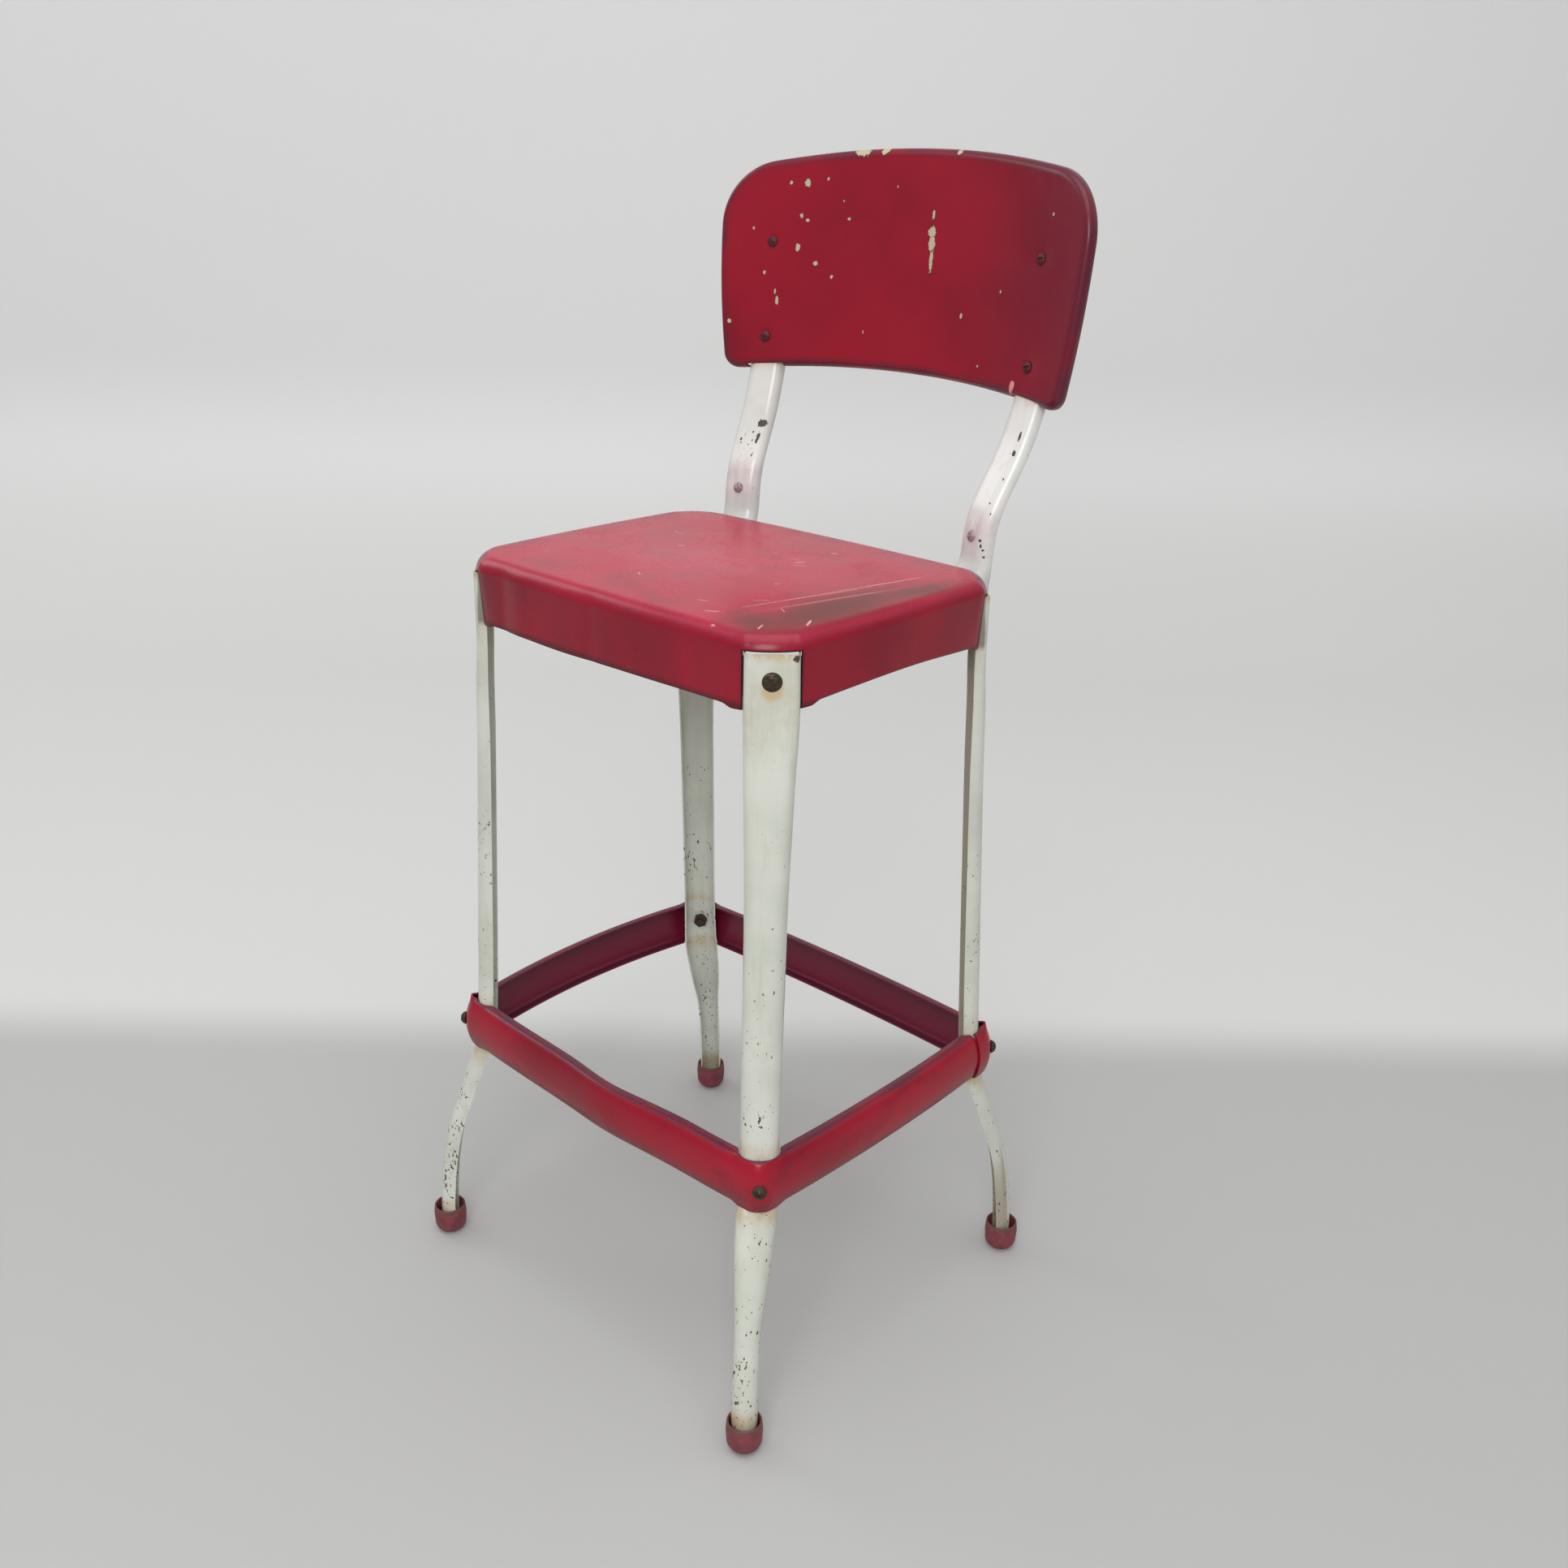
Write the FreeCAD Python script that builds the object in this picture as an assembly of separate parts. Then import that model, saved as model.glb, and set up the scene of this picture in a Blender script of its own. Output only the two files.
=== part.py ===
import FreeCAD, Part
import math
import os

# Pressed-steel bar stool with a backrest: a seat pan on four splayed channel
# legs, a bolted foot ring, two bent back posts and a curved back panel.
# Millimetres, +Z up, origin on the floor midway between the four feet.
# The sitter faces -Y, so the back posts stand at +Y.

# Seat pan
seat_height = 610.0
seat_half_width = 166.0
seat_half_depth = 125.5
seat_bow = 2.5
seat_corner_radius = 40.0
seat_edge_radius = 11.0
seat_sheet = 1.2
skirt_depth = 49.4
slot_width = 38.4
slot_drop = 11.1
ear_depth = 2.7
ear_length = 12.0

# Legs
leg_sheet = 1.3
leg_proud = 0.8
leg_width = 37.0
leg_depth = 14.0
leg_foot_out_x = 21.3
leg_foot_out_y = 40.9
leg_slot_gap = 1.2

# Foot caps
cap_diameter = 27.0
cap_height = 25.0
cap_floor = 5.5
cap_bottom_round = 9.0
cap_rim_round = 0.6

# Foot ring
ring_height = 208.2
ring_corner_radius = 10.0
ring_corner_proud = 4.2
ring_strip = 41.0
ring_sheet = 1.5
ring_wall_radius = 45.0
ring_lip_radius = 6.0
ring_lip = 3.5
ring_tilt_angle = 3.0
ring_front_bow = 5.5
ring_side_bow = 4.5
ring_back_bow = 5.0
ring_dented_bow = 13.0
ring_tab_height = 32.0
ring_end_lap = 11.0
ring_tab_step = 3.0

# Back posts
post_sheet = 1.3
post_width = 31.0
post_depth = 10.5
post_base_depth = 13.7
post_bend_radius = 8.0
post_base_inset = 44.0
post_base_rise = 1.4
post_base_length = 30.0
post_swing_rise = 22.0
post_clear_of_skirt = 8.2
post_bend_end_rise = 4.5
post_above_screw = 17.0
stiffener_sheet = 1.3
stiffener_rise = 5.4
stiffener_length = 79.0

# Back panel
panel_above_seat = 114.5
panel_tall = 174.0
panel_behind_seat = 69.1
panel_lean_rise = 25.5
panel_radius = 500.0
panel_recline_angle = 5.8
panel_sheet = 1.2
panel_rim = 10.0
panel_edge_radius = 6.0
panel_bottom_arch = 7.5
panel_crown = 12.0
panel_beyond_screw = 38.4
panel_flare = 9.5
panel_side_bow = 2.0
panel_top_corner = 46.0
panel_bottom_corner = 17.0

# Fasteners
bolt_diameter = 6.0
bolt_hole = 6.6
nut_across_flats = 11.1
nut_height = 5.0
thread_end = 2.0
seat_screw_head = 13.5
seat_screw_head_height = 2.2
seat_screw_drop = 19.3
ring_bolt_head = 11.0
ring_bolt_head_height = 4.5
post_screw_diameter = 5.0
post_screw_hole = 5.5
post_screw_head = 9.5
post_screw_head_height = 3.2
post_screw_nut = 8.0
post_screw_nut_height = 4.0
post_screw_rise = 9.0
post_screw_pitch = 17.0
panel_screw_diameter = 4.8
panel_screw_hole = 5.4
panel_screw_head = 8.6
panel_screw_head_height = 1.8
panel_screw_nut = 8.0
panel_screw_nut_height = 3.6
panel_screw_spread = 10.6
panel_low_screw_rise = 25.5
panel_high_screw_drop = 73.5
rivet_diameter = 5.0
rivet_hole = 5.2
rivet_head = 9.0
rivet_head_height = 2.2
rivet_tail = 8.0
rivet_tail_height = 1.6
rivet_above_seat = 20.0
screw_slot_width = 1.6
screw_slot_depth = 1.2

# Corner brackets inside the seat pan
bracket_sheet = 2.0
bracket_height = 27.0
bracket_plate = 27.0
bracket_reach = 11.8
bracket_tab = 22.0

# Clearances
touch_gap = 0.1
seat_gap = 0.3
notch_gap = 0.4
post_notch_gap = 0.8
cut_overrun = 2.0

# Leg stations from the top down: height as a share of the leg's top, place of
# the face between seat corner and foot, then width and depth as shares of the
# two leg sizes, and the bend radius as a share of the width at that station.
leg_station_shares = [
    (1.000, 0.000, 0.985, 0.62, 0.12),
    (0.962, 0.000, 1.000, 0.62, 0.12),
    (0.924, 0.002, 1.000, 0.62, 0.12),
    (0.895, 0.018, 0.980, 0.66, 0.16),
    (0.867, 0.043, 0.950, 0.71, 0.21),
    (0.800, 0.078, 0.890, 0.79, 0.27),
    (0.715, 0.123, 0.820, 0.86, 0.33),
    (0.561, 0.204, 0.790, 0.94, 0.38),
    (0.410, 0.282, 0.770, 1.00, 0.41),
    (0.350, 0.314, 0.790, 1.00, 0.41),
    (0.318, 0.352, 0.815, 1.00, 0.40),
    (0.280, 0.479, 0.800, 0.98, 0.40),
    (0.255, 0.570, 0.765, 0.96, 0.41),
    (0.221, 0.676, 0.685, 0.94, 0.43),
    (0.187, 0.789, 0.575, 0.93, 0.45),
    (0.153, 0.875, 0.525, 0.93, 0.46),
    (0.119, 0.932, 0.515, 0.93, 0.46),
    (0.084, 0.972, 0.525, 0.93, 0.46),
    (0.047, 1.000, 0.535, 0.93, 0.46),
]

# Back post between the pan and the back panel: height as a share of the bend,
# and how far the post has leant back by then as a share of the whole lean.
post_lean_shares = [
    (0.139, 0.033),
    (0.226, 0.086),
    (0.313, 0.162),
    (0.400, 0.286),
    (0.487, 0.414),
    (0.574, 0.548),
    (0.661, 0.667),
    (0.748, 0.767),
    (0.835, 0.855),
    (0.922, 0.936),
]
post_base_shares = [0, 1]
post_swing_shares = [(0.12, 0.05), (0.26, 0.19), (0.42, 0.41), (0.58, 0.63),
                     (0.72, 0.81), (0.86, 0.93)]
post_panel_shares = [0.08, 0.17, 0.27, 0.38, 0.50, 0.62, 0.75, 0.87]

slot_top_z = seat_height - slot_drop
skirt_bottom_z = seat_height - skirt_depth
leg_top_z = slot_top_z - leg_slot_gap
seat_screw_z = slot_top_z - seat_screw_drop
leg_foot_half_x = seat_half_width + leg_foot_out_x
leg_foot_half_y = seat_half_depth + leg_foot_out_y
post_base_half_x = seat_half_width - post_base_inset
panel_screw_half_x = post_base_half_x + panel_screw_spread
panel_bottom_half_width = panel_screw_half_x + panel_beyond_screw
panel_top_half_width = panel_bottom_half_width + panel_flare
stiffener_bottom_z = skirt_bottom_z + stiffener_rise
rivet_z = seat_height + rivet_above_seat
panel_bottom_z = seat_height + panel_above_seat
panel_top_z = panel_bottom_z + panel_tall
panel_lean_z = panel_bottom_z + panel_lean_rise
panel_lean_y = seat_half_depth + panel_behind_seat
panel_low_screw_z = panel_bottom_z + panel_low_screw_rise
panel_high_screw_z = panel_top_z - panel_high_screw_drop
post_bend_end_z = panel_bottom_z + post_bend_end_rise
post_top_z = panel_high_screw_z + post_above_screw

UP = FreeCAD.Vector(0, 0, 1)
DIAGONAL = FreeCAD.Vector(1, 1, 0).normalize()
DIAGONAL_ANGLE = math.atan2(DIAGONAL.y, DIAGONAL.x)
CORNERS = {
    "front_left": (-1, -1),
    "front_right": (1, -1),
    "back_left": (-1, 1),
    "back_right": (1, 1),
}


def vec(x, y, z):
    return FreeCAD.Vector(x, y, z)


def arc_through(start, middle, end):
    return Part.Arc(start, middle, end).toShape()


def mirrored(shape, sign_x, sign_y):
    """The same piece at another corner, from the one at +X +Y."""
    result = shape
    if sign_x < 0:
        result = result.mirror(vec(0, 0, 0), vec(1, 0, 0))
    if sign_y < 0:
        result = result.mirror(vec(0, 0, 0), vec(0, 1, 0))
    return result


def placed(shape, origin, axis):
    """Turn a shape built along +Z onto an axis and carry it to its origin."""
    result = shape.copy()
    result.Placement = FreeCAD.Placement(origin, FreeCAD.Rotation(UP, axis))
    return result


def hole_along(origin, axis, diameter, length):
    """A round cutter centred on its origin."""
    start = origin - axis * (length / 2)
    return Part.makeCylinder(diameter / 2, length, start, axis)


def export(shape, name):
    solids = shape.Solids
    result = solids[0] if len(solids) == 1 else Part.makeCompound(solids)
    box = result.BoundBox
    print(name, "solids", len(solids), "valid", result.isValid(),
          "z", round(box.ZMin, 1), round(box.ZMax, 1))
    result.exportStep("parts/" + name + ".step")


# Rounded outlines whose sides bow in or out

def circle_meeting(first, first_reach, second, second_reach, side):
    """The point at two distances from two points, on the given side of them."""
    gap = (second - first).Length
    along = (gap ** 2 + first_reach ** 2 - second_reach ** 2) / (2 * gap)
    across = math.sqrt(first_reach ** 2 - along ** 2)
    run = (second - first).normalize()
    return first + run * along + vec(-run.y, run.x, 0) * across * side


def bowed_side(first, first_radius, second, second_radius, bow):
    """Centre and radius of the arc tangent to two corner circles.

    A side that bows inwards has a negative radius."""
    half = (second - first).Length / 2
    mean = (first_radius + second_radius) / 2
    radius = (half ** 2 + bow ** 2) / (2 * bow) + mean
    side = math.copysign(1, bow)
    centre = circle_meeting(first, radius - first_radius, second, radius - second_radius, side)
    return centre, radius


def tangent_point(corner, corner_radius, side):
    """Where a corner circle runs into the side arc (centre, radius)."""
    centre, radius = side
    return corner + (corner - centre) * (corner_radius / (radius - corner_radius))


def outline_arcs(corners, bows):
    """Arcs of a closed outline: (centre, radius, start point, end point).

    corners holds (centre, radius) anticlockwise, and bows the bow of the side
    that follows each corner."""
    count = len(corners)
    sides = []
    for index in range(count):
        first, first_radius = corners[index]
        second, second_radius = corners[(index + 1) % count]
        sides.append(bowed_side(first, first_radius, second, second_radius, bows[index]))
    arcs = []
    for index in range(count):
        corner, corner_radius = corners[index]
        start = tangent_point(corner, corner_radius, sides[index - 1])
        end = tangent_point(corner, corner_radius, sides[index])
        arcs.append((corner, corner_radius, start, end))
        following, following_radius = corners[(index + 1) % count]
        far = tangent_point(following, following_radius, sides[index])
        arcs.append((sides[index][0], abs(sides[index][1]), end, far))
    return arcs


def outline_face(arcs):
    edges = []
    for centre, radius, start, end in arcs:
        middle = centre + ((start + end) * 0.5 - centre).normalize() * radius
        edges.append(arc_through(start, middle, end))
    return Part.Face(Part.Wire(edges))


# Seat pan

def seat_corners(inset):
    """Corner circles of the seat's plan, anticlockwise from +X +Y."""
    x = seat_half_width - seat_corner_radius
    y = seat_half_depth - seat_corner_radius
    radius = seat_corner_radius - inset
    return [(vec(sx * x, sy * y, 0), radius) for sx, sy in ((1, 1), (-1, 1), (-1, -1), (1, -1))]


def seat_block(inset, bottom_z):
    """The pan's outer form, or its hollow when inset by the sheet."""
    top_z = seat_height - inset
    face = outline_face(outline_arcs(seat_corners(inset), [seat_bow] * 4))
    face.translate(vec(0, 0, bottom_z))
    block = face.extrude(vec(0, 0, top_z - bottom_z))
    rim = [edge for edge in block.Edges
           if abs(edge.BoundBox.ZMin - top_z) < seat_sheet / 2
           and edge.BoundBox.ZLength < seat_sheet / 2]
    return block.makeFillet(seat_edge_radius - inset, rim)


def corner_apex():
    """Outermost point of the pan's round corner at +X +Y."""
    x = seat_half_width - seat_corner_radius
    y = seat_half_depth - seat_corner_radius
    return vec(x, y, 0) + DIAGONAL * seat_corner_radius


def slot_cutter():
    reach = seat_corner_radius
    across = vec(-DIAGONAL.y, DIAGONAL.x, 0)
    low = corner_apex() - DIAGONAL * (reach / 2) - across * (slot_width / 2)
    low.z = skirt_bottom_z - ear_depth - cut_overrun
    far = low + DIAGONAL * reach
    base = Part.makePolygon([low, far, far + across * slot_width, low + across * slot_width, low])
    return Part.Face(base).extrude(vec(0, 0, slot_top_z - low.z))


def ear_start():
    """Where the short deeper ears begin, on the long and on the short sides."""
    apex = corner_apex()
    half = slot_width / 2
    sagitta = seat_corner_radius - math.sqrt(seat_corner_radius ** 2 - half ** 2)
    step = (half + sagitta) * DIAGONAL.x
    return apex.x - step - ear_length, apex.y - step - ear_length


def skirt_arc_radius(half_length):
    half = half_length - seat_corner_radius
    return (half ** 2 + seat_bow ** 2) / (2 * seat_bow) + seat_corner_radius


def skirt_reach(half_length, half_out, place):
    """How far out a bowed side of the pan stands at a place along it."""
    radius = skirt_arc_radius(half_length)
    return half_out + seat_bow - radius + math.sqrt(radius ** 2 - place ** 2)


def seat_pan():
    low = skirt_bottom_z - ear_depth
    pan = seat_block(0, low).cut(seat_block(seat_sheet, low - cut_overrun))
    for sign_x, sign_y in CORNERS.values():
        pan = pan.cut(mirrored(slot_cutter(), sign_x, sign_y))
    ear_x, ear_y = ear_start()
    depth = ear_depth + cut_overrun
    wide = 2 * (seat_half_width + seat_bow + cut_overrun)
    deep = 2 * (seat_half_depth + seat_bow + cut_overrun)
    floor_z = skirt_bottom_z - depth
    pan = pan.cut(Part.makeBox(2 * ear_x, deep, depth, vec(-ear_x, -deep / 2, floor_z)))
    pan = pan.cut(Part.makeBox(wide, 2 * ear_y, depth, vec(-wide / 2, -ear_y, floor_z)))
    for hole in post_screw_holes():
        pan = pan.cut(hole).cut(mirrored(hole, -1, 1))
    return pan


# Channel sections

def section_point(face, angle, across, inwards):
    """A point of a section: across its face, and in from that face."""
    outward = vec(math.cos(angle), math.sin(angle), 0)
    sideways = vec(-outward.y, outward.x, 0)
    return face + sideways * across - outward * inwards


def channel_wire(face, angle, width, depth, radius, sheet, inset):
    """Closed outline of a bent sheet channel, open towards its back.

    inset draws the same channel that far inside the first one."""
    half = width / 2 - inset
    bend = radius - inset
    corner = half - bend
    knee_in = inset + bend
    quarter = 1 - math.sqrt(0.5)

    def point(across, inwards):
        return section_point(face, angle, across, inwards)

    def bend_arc(side, layer, from_face):
        turn = bend - layer
        rim = point(side * (half - layer), knee_in)
        knee = point(side * (half - layer - turn * quarter), inset + layer + turn * quarter)
        foot = point(side * corner, inset + layer)
        return arc_through(foot, knee, rim) if from_face else arc_through(rim, knee, foot)

    edges = [
        Part.makeLine(point(-half, depth), point(-half, knee_in)),
        bend_arc(-1, 0, False),
        Part.makeLine(point(-corner, inset), point(corner, inset)),
        bend_arc(1, 0, True),
        Part.makeLine(point(half, knee_in), point(half, depth)),
        Part.makeLine(point(half, depth), point(half - sheet, depth)),
        Part.makeLine(point(half - sheet, depth), point(half - sheet, knee_in)),
        bend_arc(1, sheet, False),
        Part.makeLine(point(corner, inset + sheet), point(-corner, inset + sheet)),
        bend_arc(-1, sheet, True),
        Part.makeLine(point(-half + sheet, knee_in), point(-half + sheet, depth)),
        Part.makeLine(point(-half + sheet, depth), point(-half, depth)),
    ]
    return Part.Wire(edges)


def envelope_wire(face, angle, width, depth, radius, gap):
    """The filled outline of a channel with room all round, for cutting."""
    half = width / 2 + gap
    bend = radius + gap
    corner = half - bend
    back = depth + gap
    quarter = 1 - math.sqrt(0.5)

    def point(across, inwards):
        return section_point(face, angle, across, inwards - gap)

    def bend_points(side):
        return [point(side * half, bend),
                point(side * (half - bend * quarter), bend * quarter),
                point(side * corner, 0)]

    right = bend_points(1)
    edges = [
        Part.makeLine(point(-half, back), point(-half, bend)),
        arc_through(*bend_points(-1)),
        Part.makeLine(point(-corner, 0), point(corner, 0)),
        arc_through(right[2], right[1], right[0]),
        Part.makeLine(point(half, bend), point(half, back)),
        Part.makeLine(point(half, back), point(-half, back)),
    ]
    return Part.Wire(edges)


# Legs

def leg_stations():
    """Face place, width, depth and bend of the leg at +X +Y, top first."""
    top = corner_apex() + DIAGONAL * leg_proud
    foot = vec(leg_foot_half_x, leg_foot_half_y, 0)
    rows = []
    for height_share, spread_share, width_share, depth_share, bend_share in leg_station_shares:
        face = top + (foot - top) * spread_share
        face.z = leg_top_z * height_share
        width = leg_width * width_share
        rows.append((face, width, leg_depth * depth_share, width * bend_share))
    last = rows[-1]
    bottom = vec(leg_foot_half_x, leg_foot_half_y, cap_floor + seat_gap)
    rows.append((bottom, last[1], last[2], last[3]))
    return rows


def leg_at(z):
    """The leg's face, width and bend at a height, between its stations."""
    rows = leg_stations()
    for upper, lower in zip(rows, rows[1:]):
        if lower[0].z <= z <= upper[0].z:
            share = (upper[0].z - z) / (upper[0].z - lower[0].z)
            face = upper[0] + (lower[0] - upper[0]) * share
            width = upper[1] + (lower[1] - upper[1]) * share
            bend = upper[3] + (lower[3] - upper[3]) * share
            return face, width, bend


def leg_solid():
    wires = [channel_wire(face, DIAGONAL_ANGLE, width, depth, bend, leg_sheet, 0)
             for face, width, depth, bend in leg_stations()]
    leg = Part.makeLoft(wires, True, False)
    for z in (seat_screw_z, ring_height):
        leg = leg.cut(hole_along(leg_at(z)[0], DIAGONAL, bolt_hole, leg_depth))
    return leg


def leg_envelope():
    """The leg's filled form, with room all round, where the ring passes it."""
    wires = [envelope_wire(face, DIAGONAL_ANGLE, width, depth, bend, notch_gap)
             for face, width, depth, bend in leg_stations()
             if abs(face.z - ring_height) < 1.5 * ring_strip]
    return Part.makeLoft(wires, True, False)


def foot_cap():
    face, width, depth, bend = leg_stations()[-1]
    centre = face - DIAGONAL * (depth / 2)
    centre.z = 0
    radius = cap_diameter / 2
    cup = Part.makeCylinder(radius, cap_height, centre, UP)
    bottom = [edge for edge in cup.Edges if edge.BoundBox.ZMax < cap_floor]
    cup = cup.makeFillet(cap_bottom_round, bottom)
    cavity = math.hypot(width / 2, depth / 2) + touch_gap
    floor = centre + UP * cap_floor
    cup = cup.cut(Part.makeCylinder(cavity, cap_height, floor, UP))
    rim = [edge for edge in cup.Edges
           if edge.BoundBox.ZMin > cap_height - cap_rim_round
           and edge.BoundBox.XLength > cap_diameter - cap_rim_round]
    return cup.makeFillet(cap_rim_round, rim)


# Foot ring

def ring_corner_centre():
    """Middle of the ring's corner at +X +Y, on the line through the leg's face."""
    face = leg_at(ring_height)[0]
    centre = face + DIAGONAL * (ring_corner_proud - ring_corner_radius)
    return vec(centre.x, centre.y, 0)


def ring_corners(wide, step):
    """Corner circles anticlockwise from +X +Y, one of them wider by a step."""
    centre = ring_corner_centre()
    signs = ((1, 1), (-1, 1), (-1, -1), (1, -1))
    return [(vec(sx * centre.x, sy * centre.y, 0),
             ring_corner_radius + (step if index == wide else 0))
            for index, (sx, sy) in enumerate(signs)]


def ring_face(centre, radius, angle, lipped):
    """Section of the ring at one place: a bulged strip, lipped or plain."""
    tilt = math.radians(ring_tilt_angle)
    outward = vec(math.cos(angle), math.sin(angle), 0)
    half = ring_strip / 2
    hub = -math.sqrt(ring_wall_radius ** 2 - half ** 2)
    inner_radius = ring_wall_radius - ring_sheet

    def point(x, z):
        out = x * math.cos(tilt) - z * math.sin(tilt)
        rise = x * math.sin(tilt) + z * math.cos(tilt)
        return centre + outward * (radius + out) + UP * (ring_height + rise)

    def wall(reach, slope, side):
        return point(hub + reach * math.cos(slope), side * reach * math.sin(slope))

    if not lipped:
        slope = math.asin(ring_tab_height / 2 / ring_wall_radius)
        corners = [wall(ring_wall_radius, slope, -1), wall(ring_wall_radius, slope, 1),
                   wall(inner_radius, slope, 1), wall(inner_radius, slope, -1)]
        edges = [
            arc_through(corners[0], point(hub + ring_wall_radius, 0), corners[1]),
            Part.makeLine(corners[1], corners[2]),
            arc_through(corners[2], point(hub + inner_radius, 0), corners[3]),
            Part.makeLine(corners[3], corners[0]),
        ]
        return Part.Face(Part.Wire(edges))

    rise = half - ring_lip_radius
    slope = math.asin(rise / (ring_wall_radius - ring_lip_radius))
    knee = hub + (ring_wall_radius - ring_lip_radius) * math.cos(slope)
    turn = (slope + math.pi / 2) / 2
    tip = knee - ring_lip

    def lip_arc(side, layer, outwards):
        bend = ring_lip_radius - layer
        start = wall(ring_wall_radius - layer, slope, side)
        middle = point(knee + bend * math.cos(turn), side * (rise + bend * math.sin(turn)))
        end = point(knee, side * (half - layer))
        return arc_through(start, middle, end) if outwards else arc_through(end, middle, start)

    edges = [
        Part.makeLine(point(tip, -half), point(knee, -half)),
        lip_arc(-1, 0, False),
        arc_through(wall(ring_wall_radius, slope, -1), point(hub + ring_wall_radius, 0),
                    wall(ring_wall_radius, slope, 1)),
        lip_arc(1, 0, True),
        Part.makeLine(point(knee, half), point(tip, half)),
        Part.makeLine(point(tip, half), point(tip, half - ring_sheet)),
        Part.makeLine(point(tip, half - ring_sheet), point(knee, half - ring_sheet)),
        lip_arc(1, ring_sheet, False),
        arc_through(wall(inner_radius, slope, 1), point(hub + inner_radius, 0),
                    wall(inner_radius, slope, -1)),
        lip_arc(-1, ring_sheet, True),
        Part.makeLine(point(knee, -half + ring_sheet), point(tip, -half + ring_sheet)),
        Part.makeLine(point(tip, -half + ring_sheet), point(tip, -half)),
    ]
    return Part.Face(Part.Wire(edges))


def ring_run(arc, first_share, last_share, lipped):
    """The strip along part of one arc of the ring's plan."""
    centre, radius, start, end = arc
    first = math.atan2(start.y - centre.y, start.x - centre.x)
    last = math.atan2(end.y - centre.y, end.x - centre.x)
    sweep = (last - first) % (2 * math.pi)
    face = ring_face(centre, radius, first + sweep * first_share, lipped)
    return face.revolve(centre, UP, math.degrees(sweep * (last_share - first_share)))


def arc_length(arc):
    centre, radius, start, end = arc
    return 2 * radius * math.asin((end - start).Length / (2 * radius))


def ring_piece(wide):
    """Half of the ring: it laps outside at one corner and under at the next.

    wide is the corner, counted anticlockwise from +X +Y, where it is outside."""
    bows = [ring_back_bow, ring_dented_bow, ring_front_bow, ring_side_bow]
    arcs = outline_arcs(ring_corners(wide, ring_sheet + touch_gap), bows)
    count = len(arcs)
    order = [arcs[(2 * wide + step) % count] for step in range(-1, 6)]
    outer_end, wide_corner, first_side, bend, second_side, under_corner, under_end = order
    lap = ring_end_lap / arc_length(outer_end)
    tab = 1 - (ring_end_lap + ring_tab_step) / arc_length(second_side)
    runs = [
        ring_run(outer_end, 1 - lap, 1, True),
        ring_run(wide_corner, 0, 1, True),
        ring_run(first_side, 0, 1, True),
        ring_run(bend, 0, 1, True),
        ring_run(second_side, 0, tab, True),
        ring_run(second_side, tab, 1, False),
        ring_run(under_corner, 0, 1, False),
        ring_run(under_end, 0, ring_end_lap / arc_length(under_end), False),
    ]
    piece = runs[0].fuse(runs[1:]).removeSplitter()
    envelope = leg_envelope()
    for sign_x, sign_y in CORNERS.values():
        hole = hole_along(ring_seat(0), DIAGONAL, bolt_hole, ring_strip)
        piece = piece.cut(mirrored(envelope.fuse(hole), sign_x, sign_y))
    return piece


def ring_seat(step):
    """Where a ring bolt's head rests at +X +Y, over a given extra thickness."""
    half = ring_strip / 2
    bulge = ring_wall_radius - math.sqrt(ring_wall_radius ** 2 - half ** 2)
    face = leg_at(ring_height)[0]
    return face + DIAGONAL * (ring_corner_proud + bulge + step)


# Back panel, bent round an upright cylinder and then reclined

def reclined(point):
    turn = FreeCAD.Rotation(vec(1, 0, 0), -panel_recline_angle)
    return vec(0, panel_lean_y, panel_lean_z) + turn.multVec(point)


def panel_height(z):
    """Height along the reclined panel, from its middle, of a level z."""
    return (z - panel_lean_z) / math.cos(math.radians(panel_recline_angle))


def panel_point(depth, x, z):
    """A point of the panel, a depth behind its front face, and the normal there."""
    recline = math.radians(panel_recline_angle)
    reach = panel_radius + depth
    y = math.sqrt(reach ** 2 - x ** 2) - panel_radius
    along = (z - panel_lean_z + y * math.sin(recline)) / math.cos(recline)
    turn = FreeCAD.Rotation(vec(1, 0, 0), -panel_recline_angle)
    normal = turn.multVec(vec(-x / reach, -(y + panel_radius) / reach, 0))
    return reclined(vec(x, y, along)), normal


def panel_block(inset, back_depth):
    """The panel's outer form, or its hollow when inset by the sheet."""
    top_x = panel_top_half_width - panel_top_corner
    top_y = panel_height(panel_top_z) - panel_crown - panel_top_corner
    low_x = panel_bottom_half_width - panel_bottom_corner
    low_y = panel_height(panel_bottom_z) + panel_bottom_corner
    corners = [
        (vec(top_x, top_y, 0), panel_top_corner - inset),
        (vec(-top_x, top_y, 0), panel_top_corner - inset),
        (vec(-low_x, low_y, 0), panel_bottom_corner - inset),
        (vec(low_x, low_y, 0), panel_bottom_corner - inset),
    ]
    bows = [panel_crown, panel_side_bow, -panel_bottom_arch, panel_side_bow]
    face = outline_face(outline_arcs(corners, bows))
    face.rotate(vec(0, 0, 0), vec(1, 0, 0), 90)
    span = panel_radius / 2
    prism = face.extrude(vec(0, -2 * span, 0))
    prism.translate(vec(0, span, 0))
    axis = vec(0, -panel_radius, -panel_top_z)
    tall = 2 * panel_top_z
    outer = Part.makeCylinder(panel_radius + back_depth, tall, axis, UP)
    inner = Part.makeCylinder(panel_radius + inset, tall, axis, UP)
    near = Part.makeBox(2 * panel_radius, panel_radius, tall,
                        vec(-panel_radius, -panel_radius / 2, -panel_top_z))
    block = prism.common(near).common(outer.cut(inner))
    front = [edge for edge in block.Edges if on_cylinder(edge, panel_radius + inset)]
    return block.makeFillet(panel_edge_radius - inset, front)


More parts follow.
